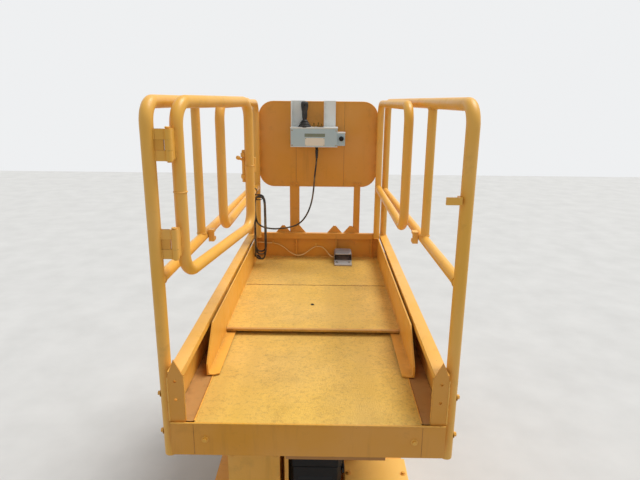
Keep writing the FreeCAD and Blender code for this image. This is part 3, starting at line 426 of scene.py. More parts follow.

# Decks of the platform and of the slide-out part
# Steel plate under the same yellow with sharp sand rolled into the paint, so that boots hold on it.
# Boots have worn it dull and brown in the middle, rain has left pale lime marks, and soft darker bands run
# along it as painted shade.
deck_paint, tree, shader = surface("anti-slip deck paint")
feeds = {"Paint": srgb(250, 204, 90), "Grime and shade share": 0.28, "Chips": 0.1}
film = add(tree, "Group", feeds, node_tree=weathered).outputs
where = local(tree)
sand = add(tree, "TexVoronoi", {"Vector": where, "Scale": 420.0}, feature="F1").outputs["Distance"]
grains = sums(tree, "ADD", ramp(tree, sand, 0.1, 0.6, 1.0, 0.0), noise(tree, where, 520.0, 2.0))
trodden = ramp(tree, noise(tree, where, 6.5, 9.0, 0.76), 0.44, 0.7)
speckle = ramp(tree, noise(tree, where, 62.0, 6.0, 0.88), 0.5, 0.57)
hollows = ramp(tree, grains, 0.5, 1.1, 1.0, 0.0)
brown = sums(tree, "MULTIPLY", sums(tree, "ADD", sums(tree, "MULTIPLY", hollows, 0.35), 0.1), trodden)
scuffed = ramp(tree, trodden, 0.0, 1.0, 0.26, 0.58)
brown = sums(tree, "MAXIMUM", brown, sums(tree, "MULTIPLY", speckle, scuffed))
# Painted shade: soft darker bands along the deck stand in for the shade and reflections of the rails.
length_wise = add(tree, "Mapping", {"Vector": where, "Scale": (4.5, 0.3, 1.0)}).outputs["Vector"]
painted_shade_bands = ramp(tree, noise(tree, length_wise, 1.0, 2.0), 0.5, 0.6, 0.0, 0.16)
brown = sums(tree, "MAXIMUM", brown, painted_shade_bands)
lime = ramp(tree, noise(tree, where, 3.1, 6.0, 0.6), 0.58, 0.75, 0.0, 0.2)
trodden_and_shaded_paint = mixed(tree, brown, film["Color"], srgb(150, 106, 46))
limed_and_shaded_paint = mixed(tree, lime, trodden_and_shaded_paint, srgb(240, 208, 132))
coat(tree, shader, limed_and_shaded_paint, ramp(tree, grains, 0.4, 1.2, 0.66, 0.4), grains, 0.7, 0.0018)
dress(deck_paint, "main_deck", "slide_deck")


# Tyres and rims
# Solid cushion tyres of grey-black rubber pressed on pressed-steel rims, scuffed at the shoulders and dusty.
# Each rim is held by five nuts round its hub, which a sheet dust cap closes.
def plain(name, low, high, scale, rough_low, rough_high, metallic=0.0, relief=0.0004):
    """A surface between two colours, mottled at one scale."""
    made, tree, shader = surface(name)
    where = local(tree)
    mottle = noise(tree, where, scale, 5.0, 0.65)
    colour = mixed(tree, ramp(tree, mottle, 0.35, 0.7), low, high)
    roughness = ramp(tree, mottle, 0.3, 0.75, rough_low, rough_high)
    fine = noise(tree, where, scale * 12) if relief else None
    coat(tree, shader, colour, roughness, fine, 0.25, relief)
    shader.inputs["Metallic"].default_value = metallic
    return made


tread_rubber = rubber(
    "tyre rubber",
    (0.022, 0.022, 0.022, 1),
    (0.105, 0.098, 0.085, 1),
    film=(20.0, 6.0, 0.65),
    full=0.72,
    dull=(90.0, 0.62, 0.85),
    grain=(160.0, 5.0, 0.7),
    relief=(0.4, 0.0015),
)
rim_grey = enamel("rim grey enamel", srgb(186, 186, 180), 0.6, 0.5, under=srgb(92, 62, 44))
zinc = plain("zinc plated steel", srgb(186, 184, 176), srgb(138, 128, 112), 40.0, 0.28, 0.5, 1.0, 0.0)


def add_head(made, where, axis, across, twist=0.0):
    """Adds one hexagon bolt head on its washer, looking along an axis."""
    spot = facing(where, axis) @ Matrix.Rotation(twist, 4, "Z")
    washer, flat = across * 0.95, across * 0.577
    lathe(made, [(washer, 0.0), (washer, across * 0.11), (washer * 0.94, across * 0.14)], spot)
    lathe(made, [(flat, across * 0.13), (flat, across * 0.66), (flat * 0.82, across * 0.74)], spot, 6)


def heads(name, body, material, places):
    """Hexagon bolt heads on washers: each place is a point, the way it faces, and its size across flats."""
    made = bmesh.new()
    for where, axis, across in places:
        add_head(made, where, axis, across, where[0] * 5 + where[1] * 7 + where[2] * 9)
    finish_mesh(name, made, body, material)


axle_high, axle_along, wheel_mid = 0.152, 0.64, 0.347
nut_ring, nut_face = 0.064, 0.3722
dust_cap = [(0.031, -0.001), (0.031, 0.003), (0.0265, 0.0045), (0.0245, 0.012)]
dust_cap += [(0.021, 0.0165), (0.012, 0.019), (0, 0.0195)]
for end, along in (("front", axle_along), ("rear", -axle_along)):
    for side, sign in (("right", 1), ("left", -1)):
        label = end + "_" + side
        body = "wheel_" + label
        outward = (sign, 0, 0)
        dress(tread_rubber, "tyre_" + label)
        dress(rim_grey, "rim_" + label)
        cap = bmesh.new()
        lathe(cap, dust_cap, facing((sign * 0.39, along, axle_high), outward), 32)
        for k in range(5):
            angle = 2 * math.pi * k / 5 + 0.3
            nut_y, nut_z = along + nut_ring * math.cos(angle), axle_high + nut_ring * math.sin(angle)
            place = (sign * nut_face, nut_y, nut_z)
            add_head(cap, place, outward, 0.017, angle)
            lathe(cap, [(0.005, 0.0), (0.005, 0.0165), (0.0035, 0.0175)], facing(place, outward), 12)
        finish_mesh("hub_cap_and_nuts_" + label, cap, body, zinc)
        ribs = bmesh.new()
        for rib_round in (0.1165, 0.133):
            for face in (0.045, -0.045):
                centre = (sign * (wheel_mid + face), along, axle_high)
                loop_band(ribs, centre, (1, 0, 0), rib_round, 0.0028, 0.0026, sides=64)
        for offset in (-0.012, 0.012):
            centre = (sign * wheel_mid + offset, along, axle_high)
            loop_band(ribs, centre, (1, 0, 0), 0.1505, 0.0016, 0.01, sides=72)
        finish_mesh("tyre_ribs_" + label, ribs, body, tread_rubber)
        lip = bmesh.new()
        loop_band(lip, (sign * 0.3905, along, axle_high), (1, 0, 0), 0.0995, 0.0085, 0.004, sides=64)
        finish_mesh("rim_lip_" + label, lip, body, rim_grey)

# Knuckles, rollers and blocks under the machine
# The steering knuckles, battery and pump blocks are black-painted steel, and the rollers and pads cast nylon.
# The lift cylinder's rod is ground and hard-chromed.
black_steel = plain("black painted steel", srgb(30, 30, 31), srgb(62, 58, 52), 14.0, 0.38, 0.6)
black_cover = plain("black moulded cover", srgb(12, 12, 13), srgb(27, 27, 27), 10.0, 0.36, 0.5)
black_cover.node_tree.nodes["Principled BSDF"].inputs["Specular IOR Level"].default_value = 0.25
nylon = plain("cast nylon", srgb(214, 210, 196), srgb(176, 168, 150), 25.0, 0.4, 0.55)
hard_chrome = plain("hard chrome", srgb(214, 216, 218), srgb(190, 192, 194), 30.0, 0.08, 0.16, 1.0, 0.00005)
dress(black_steel, "knuckle_right", "knuckle_left", "power_blocks")
dress(nylon, "upper_rollers", "lower_rollers", "wear_pads")
dress(hard_chrome, "lift_rod")


# Weld beads of the platform
# The platform's steelwork is arc welded, and every joint shows its ripple under the paint.
# Rings go round the rail tubes, and straight runs along the walls' feet and corners.
def ripple(k):
    return 1.0 + 0.24 * math.sin(k * 2.4) + 0.12 * math.sin(k * 0.7)


def beads(name, body, material, runs, thick=0.003, pitch=0.009):
    """Weld beads: each run is a list of points, or a centre, axis and radius for a ring."""
    lines = []
    for run in runs:
        if isinstance(run, tuple):
            centre, axis, radius = run
            lines.append((circle(facing(centre, axis), radius, 0.0, 28), True))
            continue
        points = []
        for start, end in zip(run, run[1:]):
            start, end = Vector(start), Vector(end)
            count = max(2, int((end - start).length / pitch))
            points += [start.lerp(end, k / count) for k in range(count)]
        lines.append((points + [run[-1]], False))
    settle(line_of(name, lines, thick, "POLY", 1, swell=ripple), body, material)


near_side, far_side, near_y, far_y = 0.4623, 0.419, -0.855, 0.85
upright_y, mid_high, top_high, tee = -0.339, 1.433, 1.964, 0.0205
lean = (far_side - near_side) / (far_y - near_y)
upright_side = near_side + (upright_y - near_y) * lean
rail_runs = []
for sign in (1, -1):
    along_rail = (sign * lean, 1, 0)
    rail_runs += [
        ((sign * (near_side + tee * lean), near_y + tee, mid_high), along_rail, 0.0192),
        ((sign * (far_side - tee * lean), far_y - tee, mid_high), along_rail, 0.0192),
        ((sign * upright_side, upright_y, mid_high + 0.0186), (0, 0, 1), 0.0172),
        ((sign * upright_side, upright_y, top_high - 0.0196), (0, 0, 1), 0.0172),
        ((sign * far_side, far_y, 1.1465), (0, 0, 1), 0.0205),
        [(sign * 0.3655, y, 0.9712) for y in (-0.9, 0.885)],
    ]
    for across, y, low, high in (
        (0.393, -0.8995, 0.972, 1.134),
        (0.4425, -0.9045, 0.975, 1.13),
        (0.4425, -0.836, 0.972, 1.128),
        (0.4425, -0.874, 0.972, 1.128),
    ):
        rail_runs.append([(sign * across, y, z) for z in (low, high)])
rail_runs.append([(x, -0.9105, 0.9695) for x in (-0.441, 0.441)])
beads("platform_welds", "platform", yellow, rail_runs, 0.0026)

# Bolts of the platform
# Hexagon bolts through the walls hold the guard-rail posts, and two more hold the fascia to the frame.
# Everything was painted over, so heads have the colour of the steel around them.
post_bolts = []
fascia_lines = bmesh.new()
for sign in (1, -1):
    post_bolts += [((sign * 0.4818, near_y, height), (sign, 0, 0), 0.013) for height in (1.044, 0.905)]
    post_bolts.append(((0.0055 + sign * 0.3375, -0.91, 0.911), (0, -1, 0), 0.0125))
    lathe(fascia_lines, [(0.0007, 0.0), (0.0007, 0.112)], shift((sign * 0.368, -0.9103, 0.855)), 8)
heads("post_bolts", "platform", yellow, post_bolts)
grimy_seam_and_shade = enamel("grimy seam and painted shade", srgb(176, 116, 38), 0.9, 0.4)
finish_mesh("fascia_seams", fascia_lines, "platform", grimy_seam_and_shade)


# Swing gate's hinges and latch
# Three-knuckle hinges of round bar are welded to post and gate by their leaves, and carry the gate.
# A sprung slide bolt, with a bent handle towards the deck, latches it.
def boxed(made, low, high):
    """Adds a box between two corners."""
    floor_plan = ((low[0], low[1]), (high[0], low[1]), (high[0], high[1]), (low[0], high[1]))
    skin(made, [[(x, y, z) for x, y in floor_plan] for z in (low[2], high[2])])


hinge_x, hinge_y, hinge_heights = -0.403, -0.855, (1.844, 1.549)
gate_turn = math.radians(80.5)
gate_far = 0.744


def on_gate(along, across, height):
    """A point given along the gate from its hinge, across it to its deck side, and up."""
    x = hinge_x + along * math.cos(gate_turn) + across * math.sin(gate_turn)
    y = hinge_y + along * math.sin(gate_turn) - across * math.cos(gate_turn)
    return Vector((x, y, height))


hinge_runs, gate_runs = [], []
post_leaves, gate_leaves = bmesh.new(), bmesh.new()
for height in hinge_heights:
    for depth in (-0.0035, 0.0035):
        gate_runs.append([on_gate(0.0385, depth, height + end) for end in (-0.04, 0.04)])
    for low in (-0.046, 0.0158):
        for depth in (-0.0045, 0.0045):
            hinge_runs.append([(-0.4425, hinge_y + depth, height + low + up) for up in (0.0, 0.03)])
    hinge_runs.append(((hinge_x, hinge_y, height + 0.0498), (0, 0, 1), 0.0058))
    low, high = height - 0.046, height + 0.046
    boxed(post_leaves, (-0.444, hinge_y - 0.003, low), (-0.4156, hinge_y + 0.003, high))
    leaf = ((0.0135, -0.0026), (0.0135, 0.0026), (0.0385, 0.0026), (0.0385, -0.0026))
    skin(gate_leaves, [[on_gate(*corner, z) for corner in leaf] for z in (low, high)])
beads("hinge_welds", "platform", yellow, hinge_runs, 0.0024)
gate_runs += [(on_gate(far_end, 0, 1.699), (0, 0, 1), 0.0202) for far_end in (0.058, gate_far)]
beads("gate_welds", "gate", yellow, gate_runs, 0.0022)
latch = bmesh.new()
for height in (1.65, 1.742):
    guide = shift(on_gate(gate_far, -0.026, height))
    lathe(latch, [(0.0125, -0.008), (0.0125, 0.008), (0.01, 0.01)], guide, 20)
bolt = [(0.0075, -0.07), (0.0078, -0.068), (0.0078, 0.064), (0.006, 0.068)]
lathe(latch, bolt, shift(on_gate(gate_far, -0.026, 1.696)), 18)
handle = [(0.005, 0.0), (0.005, 0.026), (0.0085, 0.03), (0.0085, 0.04), (0.006, 0.044)]
lathe(latch, handle, facing(on_gate(0.738, -0.028, 1.722), (-0.35, -0.75, 0.3)), 18)
finish_mesh("gate_latch", latch, "gate", yellow, 0.0008)
finish_mesh("post_hinge_leaves", post_leaves, "platform", yellow_low, 0.0008)
finish_mesh("gate_hinge_leaves", gate_leaves, "gate", yellow_low, 0.0008)

# Slide-out deck's seams and welds
# Its plate is two sheets butted and welded across, with a rolled nose at the rear and a drain hole,
# and its webs, front wall and rails are welded on.
seam_y, weld_y = 0.298, 0.831
slide_runs = [[(x, -0.2515, 0.9995) for x in (-0.378, 0.378)], [(x, weld_y, 1.0015) for x in (-0.376, 0.376)]]
for sign in (1, -1):
    slide_runs += [
        [(sign * 0.3812, y, 1.001) for y in (-0.248, 0.828)],
        [(sign * 0.3812, y, 0.98) for y in (-0.615, -0.258)],
        [(sign * 0.3885, 0.8315, z) for z in (0.98, 1.134)],
        ((sign * 0.372, 0.806, 1.1355), (0, 0, 1), 0.0195),
        ((sign * 0.372, 0.787, 1.455), (0, 1, 0), 0.0195),
    ]
for across in (-0.134, 0.12, 0.345):
    for edge in (-0.0035, 0.0035):
        slide_runs.append([(across + edge, 0.8312, z) for z in (1.003, 1.15)])
for across in (-0.216, -0.12, 0.109, 0.211):
    slide_runs.append([(across + half, weld_y, 1.1612) for half in (-0.046, 0.046)])
beads("slide_welds", "slide_out_deck", yellow, slide_runs, 0.0024)
seam_run = []
for k in range(60):
    wander = 0.0016 * math.sin(k * 1.9) + 0.0012 * math.sin(k * 0.6)
    seam_run.append((-0.375 + 0.75 * k / 59, seam_y + wander, 1.0003))
beads("deck_seam", "slide_out_deck", grimy_seam_and_shade, [seam_run], 0.0021)
worn_nose = enamel("worn nose of the deck", srgb(224, 180, 104), 0.8, 0.5)
nose, nose_spot = [(0.0052, -0.381), (0.0052, 0.381)], facing((0, -0.2535, 0.9952), (1, 0, 0))
turned("deck_nose", "slide_out_deck", worn_nose, nose, nose_spot, 16)
drain = [(0.0085, 0.0), (0.0085, 0.0022), (0.006, 0.0026), (0.0046, 0.001), (0, 0.0008)]
turned("drain_plug", "slide_out_deck", black_cover, drain, shift((-0.01, 0.022, 0.9999)))

# Gutters of the main deck
# Between the deck's edges and the side walls run narrow floor strips, where rain and dust gather; their dull
# brown is grime and painted shade together.
# The deck plate's cut edge shows along them as a dark line.
# The gutters' dark brown paint is partly real grime and partly painted shade.
gutter_grime_and_shade = enamel("grime and painted shade of the gutters", srgb(190, 142, 78), 1.0, 0.5, 0.001, srgb(112, 78, 46))
ledge, gutters = bmesh.new(), bmesh.new()
for sign in (1, -1):
    lathe(ledge, [(0.0016, 0.0), (0.0016, 0.86)], facing((sign * 0.3692, -0.9, 0.9712), (0, 1, 0)), 8)
    boxed(gutters, (sign * 0.3665, -0.9, 0.9702), (sign * 0.437, 0.87, 0.971))
finish_mesh("deck_edge_lines", ledge, "platform", grimy_seam_and_shade)
finish_mesh("gutter_strips", gutters, "platform", gutter_grime_and_shade)

# Front panel and its two supports
# A sheet with a folded rim and rounded corners, stiffened by two channels that show through as lines,
# and bolted to the top of its supports.
panel_bolts = []
for across in (-0.144, 0.245):
    panel_bolts += [((across + drift, 0.8378, 1.474), (0, -1, 0), 0.011) for drift in (-0.014, 0.014)]
    panel_bolts.append(((across, 0.8378, 1.09), (0, -1, 0), 0.013))
heads("panel_bolts", "slide_out_deck", yellow_painted_shade, panel_bolts)
panel_trace = bmesh.new()
for across in (-0.134, 0.159):
    lathe(panel_trace, [(0.001, 0.0), (0.001, 0.5)], shift((across, 0.838, 1.46)), 8)
finish_mesh("panel_lines", panel_trace, "slide_out_deck", grimy_seam_and_shade)
rim_round, rim = 0.0865, []
rim_corners = ((0.27, 1.877), (-0.27, 1.877), (-0.27, 1.544), (0.27, 1.544))
for quarter, (centre_x, centre_z) in enumerate(rim_corners):
    for k in range(9):
        angle = (quarter + k / 8) * math.pi / 2
        rim.append((centre_x + rim_round * math.cos(angle), 0.8405, centre_z + rim_round * math.sin(angle)))
panel_rim = line_of("panel_rim", [(rim, True)], 0.0042, "POLY", 2)
settle(panel_rim, "slide_out_deck", yellow_painted_shade)


# Control box and its guards
# A folded sheet-steel box in pale blue-grey hammer paint, screwed to the panel, with a side box for the
# stop button, two upright guards of plate beside the joystick, and one blank riveted plate.
def boxes(name, body, material, corners, bevel=0.0):
    """A piece made of boxes, each between two corners."""
    made = bmesh.new()
    for low, high in corners:
        boxed(made, low, high)
    finish_mesh(name, made, body, material, bevel)


box_grey = enamel("control box grey", srgb(186, 211, 222), 0.18, 0.3, 0.0005, srgb(96, 96, 94))
guard_grey = enamel("guard grey", srgb(234, 239, 238), 0.25, 0.45, 0.0005, srgb(110, 108, 104))
pale_plate = enamel("blank plate", srgb(242, 238, 224), 0.2, 0.3, 0.0003, srgb(150, 150, 146))
worn_strip = enamel("worn blank strip", srgb(128, 140, 122), 0.8, 0.6, 0.0005, srgb(190, 196, 188))
dress(box_grey, "control_box")
dress(guard_grey, "control_guards")
lids = [
    ((-0.1625, 0.7265, 1.8125), (0.1175, 0.8375, 1.8205)),
    ((0.1135, 0.7365, 1.785), (0.162, 0.79, 1.7925)),
    ((-0.1615, 0.7272, 1.7055), (0.1165, 0.733, 1.7095)),
]
boxes("control_box_lids", "slide_out_deck", guard_grey, lids, 0.0014)
plate = [((-0.075, 0.7268, 1.7135), (0.04, 0.7282, 1.759))]
boxes("blank_plate", "slide_out_deck", pale_plate, plate, 0.0006)
strip = [((-0.078, 0.727, 1.765), (0.042, 0.7282, 1.784))]
boxes("blank_strip", "slide_out_deck", worn_strip, strip, 0.0005)
rivets = bmesh.new()
for z in (1.7175, 1.755):
    for x in (-0.071, 0.036):
        lathe(rivets, [(0.0026, 0.0), (0.0022, 0.0012), (0, 0.0018)], facing((x, 0.7268, z), (0, -1, 0)), 14)
screw = [(0.0048, 0.0), (0.0046, 0.0016), (0.003, 0.0026), (0, 0.0028)]
for z in (1.716, 1.802):
    for x in (-0.152, 0.107):
        lathe(rivets, screw, facing((x, 0.728, z), (0, -1, 0)), 18)
finish_mesh("box_screws", rivets, "slide_out_deck", zinc)

# Joystick, toggles and stop button on the control box
# The stick's moulded grip stands in a pleated rubber boot, clamped on the lid by its rim.
# Beside it three brass toggles are nutted through the lid, and a dark stop button sits on the side box.
boot_rubber = rubber("boot rubber", (0.012, 0.012, 0.013, 1), (0.06, 0.056, 0.05, 1))
stick = [(0.041, 0.0), (0.041, 0.004), (0.036, 0.006)]
for pleat in range(4):
    low, reach = 0.007 + pleat * 0.0085, 0.036 - pleat * 0.005
    stick += [(reach - 0.003, low), (reach, low + 0.002), (reach, low + 0.0045), (reach - 0.004, low + 0.007)]
stick += [(0.0125, 0.044), (0.0125, 0.05), (0.015, 0.056), (0.0163, 0.08), (0.016, 0.092)]
stick += [(0.0182, 0.1), (0.021, 0.118), (0.0218, 0.132), (0.0205, 0.142), (0.015, 0.1475), (0, 0.1485)]
stick_spot = shift((-0.079, 0.766, 1.818))
joystick = turned("joystick", "slide_out_deck", boot_rubber, stick, stick_spot, 32)
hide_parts("control_levers")
button = bmesh.new()
thumb_switch = [(0.0055, 0.0), (0.0055, 0.003), (0, 0.0036)]
lathe(button, thumb_switch, facing((-0.079, 0.7455, 1.944), (0, -1, 0.1)), 16)
stop = [(0.014, 0.0), (0.014, 0.005), (0.011, 0.008), (0.011, 0.013), (0.0125, 0.016), (0, 0.019)]
lathe(button, stop, facing((0.138, 0.737, 1.755), (0, -1, 0)))
finish_mesh("stop_button", button, "slide_out_deck", black_cover)
brass = plain("tarnished brass", srgb(178, 140, 70), srgb(104, 74, 40), 60.0, 0.35, 0.6, 1.0, 0.0002)
toggles = bmesh.new()
for across, tall in ((-0.024, 0.024), (0.002, 0.028), (0.021, 0.018)):
    spot = shift((across, 0.772, 1.8205))
    lathe(toggles, [(0.0095, 0.0), (0.0095, 0.003), (0.009, 0.004)], spot, 6)
    lathe(toggles, [(0.006, 0.004), (0.006, 0.01), (0.0048, 0.011)], spot, 18)
    bat = [(0.0022, 0.009), (0.003, tall - 0.006), (0.0036, tall - 0.002), (0.0022, tall), (0, tall + 0.0006)]
    lathe(toggles, bat, spot @ Matrix.Rotation(0.16, 4, "X"), 14)
finish_mesh("toggles", toggles, "slide_out_deck", brass)
dress(black_cover, "cord_glands")

# Foot switch and its cable
# A cast hood over a sprung pedal, open towards the deck and dark inside, screwed down by its tongue.
# Its thin cable is painted over and clipped to the front wall, and its colours are made paler as painted
# light where it lies in the wall's shade.
pedal_grey = enamel("foot switch grey", srgb(178, 177, 175), 0.6, 0.4, under=srgb(80, 74, 64))
hood_grey = enamel("foot switch hood grey", srgb(124, 116, 114), 0.5, 0.5, under=srgb(176, 172, 168))
pedal_brown = rubber("pedal tread rubber", srgb(84, 74, 72), srgb(124, 110, 102))
deck_skin = 1.0003
hood_curve = [(0.7, 1.06), (0.722, 1.0705), (0.745, 1.0745), (0.77, 1.0745), (0.786, 1.07)]
hood_curve += [(0.796, 1.058), (0.7995, 1.038), (0.8, deck_skin)]
hood_sections = ((0.107, 0.012), (0.1105, 0.004), (0.118, 0.0), (0.204, 0.0), (0.2115, 0.004), (0.215, 0.012))
hood = bmesh.new()
hood_rings = []
for across, shrink in hood_sections:
    ring = []
    for along, height in hood_curve:
        drawn_in = shrink * max(0.0, (height - deck_skin) / 0.075)
        ring.append(hood.verts.new((across, along - shrink * 0.25, height - drawn_in)))
    hood_rings.append(ring)
for low, high in zip(hood_rings, hood_rings[1:]):
    for k in range(len(low) - 1):
        hood.faces.new((low[k], low[k + 1], high[k + 1], high[k]))
for ring in (hood_rings[0], hood_rings[-1]):
    feet = [hood.verts.new((ring[0].co.x, along, deck_skin)) for along in (0.7, 0.741, 0.77)]
    hood.faces.new([feet[0], feet[1], ring[2], ring[1], ring[0]])
    hood.faces.new([feet[1], feet[2], ring[3], ring[2]])
    hood.faces.new([feet[2], *ring[:2:-1]])
hood_piece = finish_mesh("foot_switch_hood", hood, "slide_out_deck", hood_grey)
sheet = hood_piece.modifiers.new("sheet", "SOLIDIFY")
sheet.thickness = 0.004
sheet.offset = -1.0
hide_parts("foot_switch")
hood_edge = [((0.114, 0.6975, 1.0545), (0.208, 0.7035, 1.061))]
boxes("hood_rolled_edge", "slide_out_deck", pedal_grey, hood_edge, 0.0022)
tongue = [(0.641, deck_skin), (0.641, 1.0075), (0.652, 1.0125), (0.702, 1.0215)]
tongue += [(0.702, 1.005), (0.796, 1.005), (0.796, deck_skin)]
base_plate = bmesh.new()
skin(base_plate, [[(across, along, height) for along, height in tongue] for across in (0.1085, 0.2135)])
finish_mesh("foot_switch_base", base_plate, "slide_out_deck", pedal_grey, 0.0012)
pedal = [((0.119, 0.704, 1.006), (0.203, 0.79, 1.0185))]
for rib in range(11):
    along = 0.704 + rib * 0.0078
    pedal.append(((0.119, along, 1.006), (0.203, along + 0.0058, 1.021 + 0.018 * (along - 0.701) / 0.089)))
for slat in range(9):
    along, height = 0.704 + slat * 0.003, 1.0235 + slat * 0.004
    pedal.append(((0.119, along, height), (0.203, along + 0.009, height + 0.0032)))
boxes("foot_pedal", "slide_out_deck", pedal_brown, pedal, 0.0006)
screws = [((across, 0.668, 1.0155), (0, -0.17, 1), 0.009) for across in (0.122, 0.2)]
heads("foot_switch_screws", "slide_out_deck", zinc, screws)
# Painted light: both colours of the sheath are far paler than its paint, so that it shows bright against the
# shaded front wall.
switch_sheath_painted_light = rubber("switch cable sheath with painted light", srgb(246, 206, 130), srgb(252, 224, 166))
dress(switch_sheath_painted_light, "switch_cable")
clips = bmesh.new()
for across, height in ((-0.282, 1.091), (-0.008, 1.072), (-0.34, 1.0945)):
    loop_band(clips, (across, 0.8265, height), (1, 0, 0), 0.0042, 0.0011, 0.012, sides=20)
    boxed(clips, (across - 0.006, 0.8298, height + 0.004), (across + 0.006, 0.8318, height + 0.019))
    screw_spot = facing((across, 0.8298, height + 0.0125), (0, -1, 0))
    lathe(clips, [(0.0042, 0.0), (0.004, 0.0016), (0, 0.003)], screw_spot, 14)
finish_mesh("cable_clips", clips, "slide_out_deck", yellow)


# Black cover on the rear of the chassis
# A moulded plastic cover with a lift-off lid and louvres keeps rain off the charger.
# Four screws and two draw latches hold the lid down.
def prism(made, outline, low, high, inset=0.0):
    """Adds an upright prism over an outline, drawn in towards its middle by an inset."""
    middle = [sum(corner[k] for corner in outline) / len(outline) for k in (0, 1)]

    def drawn(value, centre):
        return value + math.copysign(min(inset, abs(value - centre)), centre - value)

    plan = [(drawn(x, middle[0]), drawn(y, middle[1])) for x, y in outline]
    skin(made, [[(x, y, height) for x, y in plan] for height in (low, high)])


cover_rear, lid_top = -0.745, 0.7148
louvre_root = cover_rear + 0.0024
cover_plan = [(-0.06, cover_rear), (0.105, cover_rear), (0.12, -0.73), (0.12, -0.59), (-0.075, -0.59)]
cover_plan.append((-0.075, -0.73))
cover = bmesh.new()
for low, high, inset in ((0.4532, 0.676, 0.0025), (0.679, 0.715, 0.0), (0.675, 0.68, 0.006)):
    prism(cover, cover_plan, low, high, inset)
cover_piece = finish_mesh("charger_cover", cover, "chassis", black_cover, 0.006)
cover_piece.modifiers["broken edges"].segments = 4
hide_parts("rear_cover")
louvres = bmesh.new()
for k in range(8):
    height = 0.5 + k * 0.018
    corners = [(louvre_root, height), (-0.7478, height + 0.0015), (louvre_root, height + 0.0105)]
    skin(louvres, [[(x, y, z) for y, z in corners] for x in (-0.04, 0.085)])
finish_mesh("cover_louvres", louvres, "chassis", black_cover, 0.0006)
cover_screws = bmesh.new()
screw = [(0.0065, 0.0), (0.0062, 0.0022), (0.0035, 0.0036), (0, 0.0038)]
for x in (-0.058, 0.103):
    for y in (-0.7, -0.608):
        lathe(cover_screws, screw, shift((x, y, lid_top)), 20)
finish_mesh("cover_screws", cover_screws, "chassis", zinc)
draw_latches = bmesh.new()
for along in (-0.712, -0.628):
    boxed(draw_latches, (0.1195, along - 0.014, 0.64), (0.13, along + 0.014, 0.66))
    boxed(draw_latches, (0.1225, along - 0.009, 0.656), (0.1275, along + 0.009, 0.708))
    lathe(draw_latches, [(0.0085, -0.016), (0.0085, 0.016)], facing((0.127, along, 0.705), (0, 1, 0)), 18)
finish_mesh("cover_draw_latches", draw_latches, "chassis", black_cover, 0.0014)

# Yellow housing and bolts of the chassis
# The welded housing beside the cover has a hinged lid with a finger lip, and is bolted down.
# Larger bolts hold the hull's end plates.
housing_lid = [
    ((-0.2955, -0.7625, 0.786), (-0.1035, -0.5575, 0.813)),
    ((-0.224, -0.77, 0.77), (-0.175, -0.76, 0.7735)),
    ((-0.224, -0.7735, 0.758), (-0.175, -0.77, 0.7735)),
]
boxes("housing_lid", "chassis", yellow_low, housing_lid, 0.003)
housing_hinges = bmesh.new()
for x in (-0.262, -0.14):
    lathe(housing_hinges, [(0.0055, -0.02), (0.0055, 0.02)], facing((x, -0.556, 0.7835), (1, 0, 0)), 14)
    boxed(housing_hinges, (x - 0.019, -0.56, 0.755), (x + 0.019, -0.5575, 0.7835))
finish_mesh("housing_hinges", housing_hinges, "chassis", yellow_low)
housing_bolts = [((x, -0.76, z), (0, -1, 0), 0.012) for x in (-0.278, -0.121) for z in (0.478, 0.742)]
housing_bolts += [((-0.293, y, z), (-1, 0, 0), 0.012) for y in (-0.735, -0.585) for z in (0.478, 0.742)]
housing_bolts += [((x, y, 0.5362), (0, 0, 1), 0.012) for x in (0.152, 0.37) for y in (-0.7, -0.6)]
for end in (-1, 1):
    housing_bolts += [((x, end * 0.8802, 0.428), (0, end, 0), 0.016) for x in (-0.345, -0.19, 0.19, 0.345)]
heads("chassis_bolts", "chassis", yellow_low, housing_bolts)
frame_runs = [
    [(-0.293, -0.7615, 0.4545), (-0.106, -0.7615, 0.4545)],
    [(-0.2945, -0.76, 0.4545), (-0.2945, -0.56, 0.4545)],
    [(-0.392, -0.8815, 0.445), (0.392, -0.8815, 0.445)],
    [(-0.392, 0.8815, 0.445), (0.392, 0.8815, 0.445)],
]
beads("frame_welds", "chassis", yellow_low, frame_runs, 0.0028)

# Cover at the stack's feet and the fascia's lower lip
# A folded sheet over the feet of the stack is bolted down and painted with the frame, in a paler copy of the
# yellow that is painted light, as it lies in the platform's shadow.
# The fascia's folded lip shows below it as a dark line, its darkness painted shade under the fascia.
# Painted light: a paler, cleaner copy of the yellow makes this cover as bright as if sunlit under the
# platform.
cover_yellow_painted_light = enamel("yellow enamel with painted light for the covers", srgb(250, 196, 84), 0.25, 0.4)
foot_cover = [((0.135, -0.722, 0.4535), (0.388, -0.508, 0.536))]
boxes("stack_foot_cover", "chassis", cover_yellow_painted_light, foot_cover, 0.004)
under_lip = [((-0.072, -0.9085, 0.839), (0.253, -0.9035, 0.8525))]
# Painted shade: the lip's dark seam colour stands in for the shade under the fascia.
boxes("fascia_under_lip", "platform", grimy_seam_and_shade, under_lip, 0.0008)

# Pins and welds of the scissor stack
# Turned steel pins hold the arms; each has a welded cap with a bolt in its end, and a grease nipple by it.
# The cross tubes are welded to the arms.
link, rest_rise, first_high, foot_y = 1.27, 0.125, 0.4, -0.45
rest_lean = math.asin(rest_rise / link)


def on_arm(level, along, rise=0.0, falling=False):
    """Y and Z of a point of a level's outer arms, or of its falling inner arms, along and across them."""
    lean_now = -rest_lean if falling else rest_lean
    base = first_high + (level if falling else level - 1) * rest_rise
    return (
        foot_y + along * math.cos(lean_now) - rise * math.sin(lean_now),
        base + along * math.sin(lean_now) + rise * math.cos(lean_now),
    )


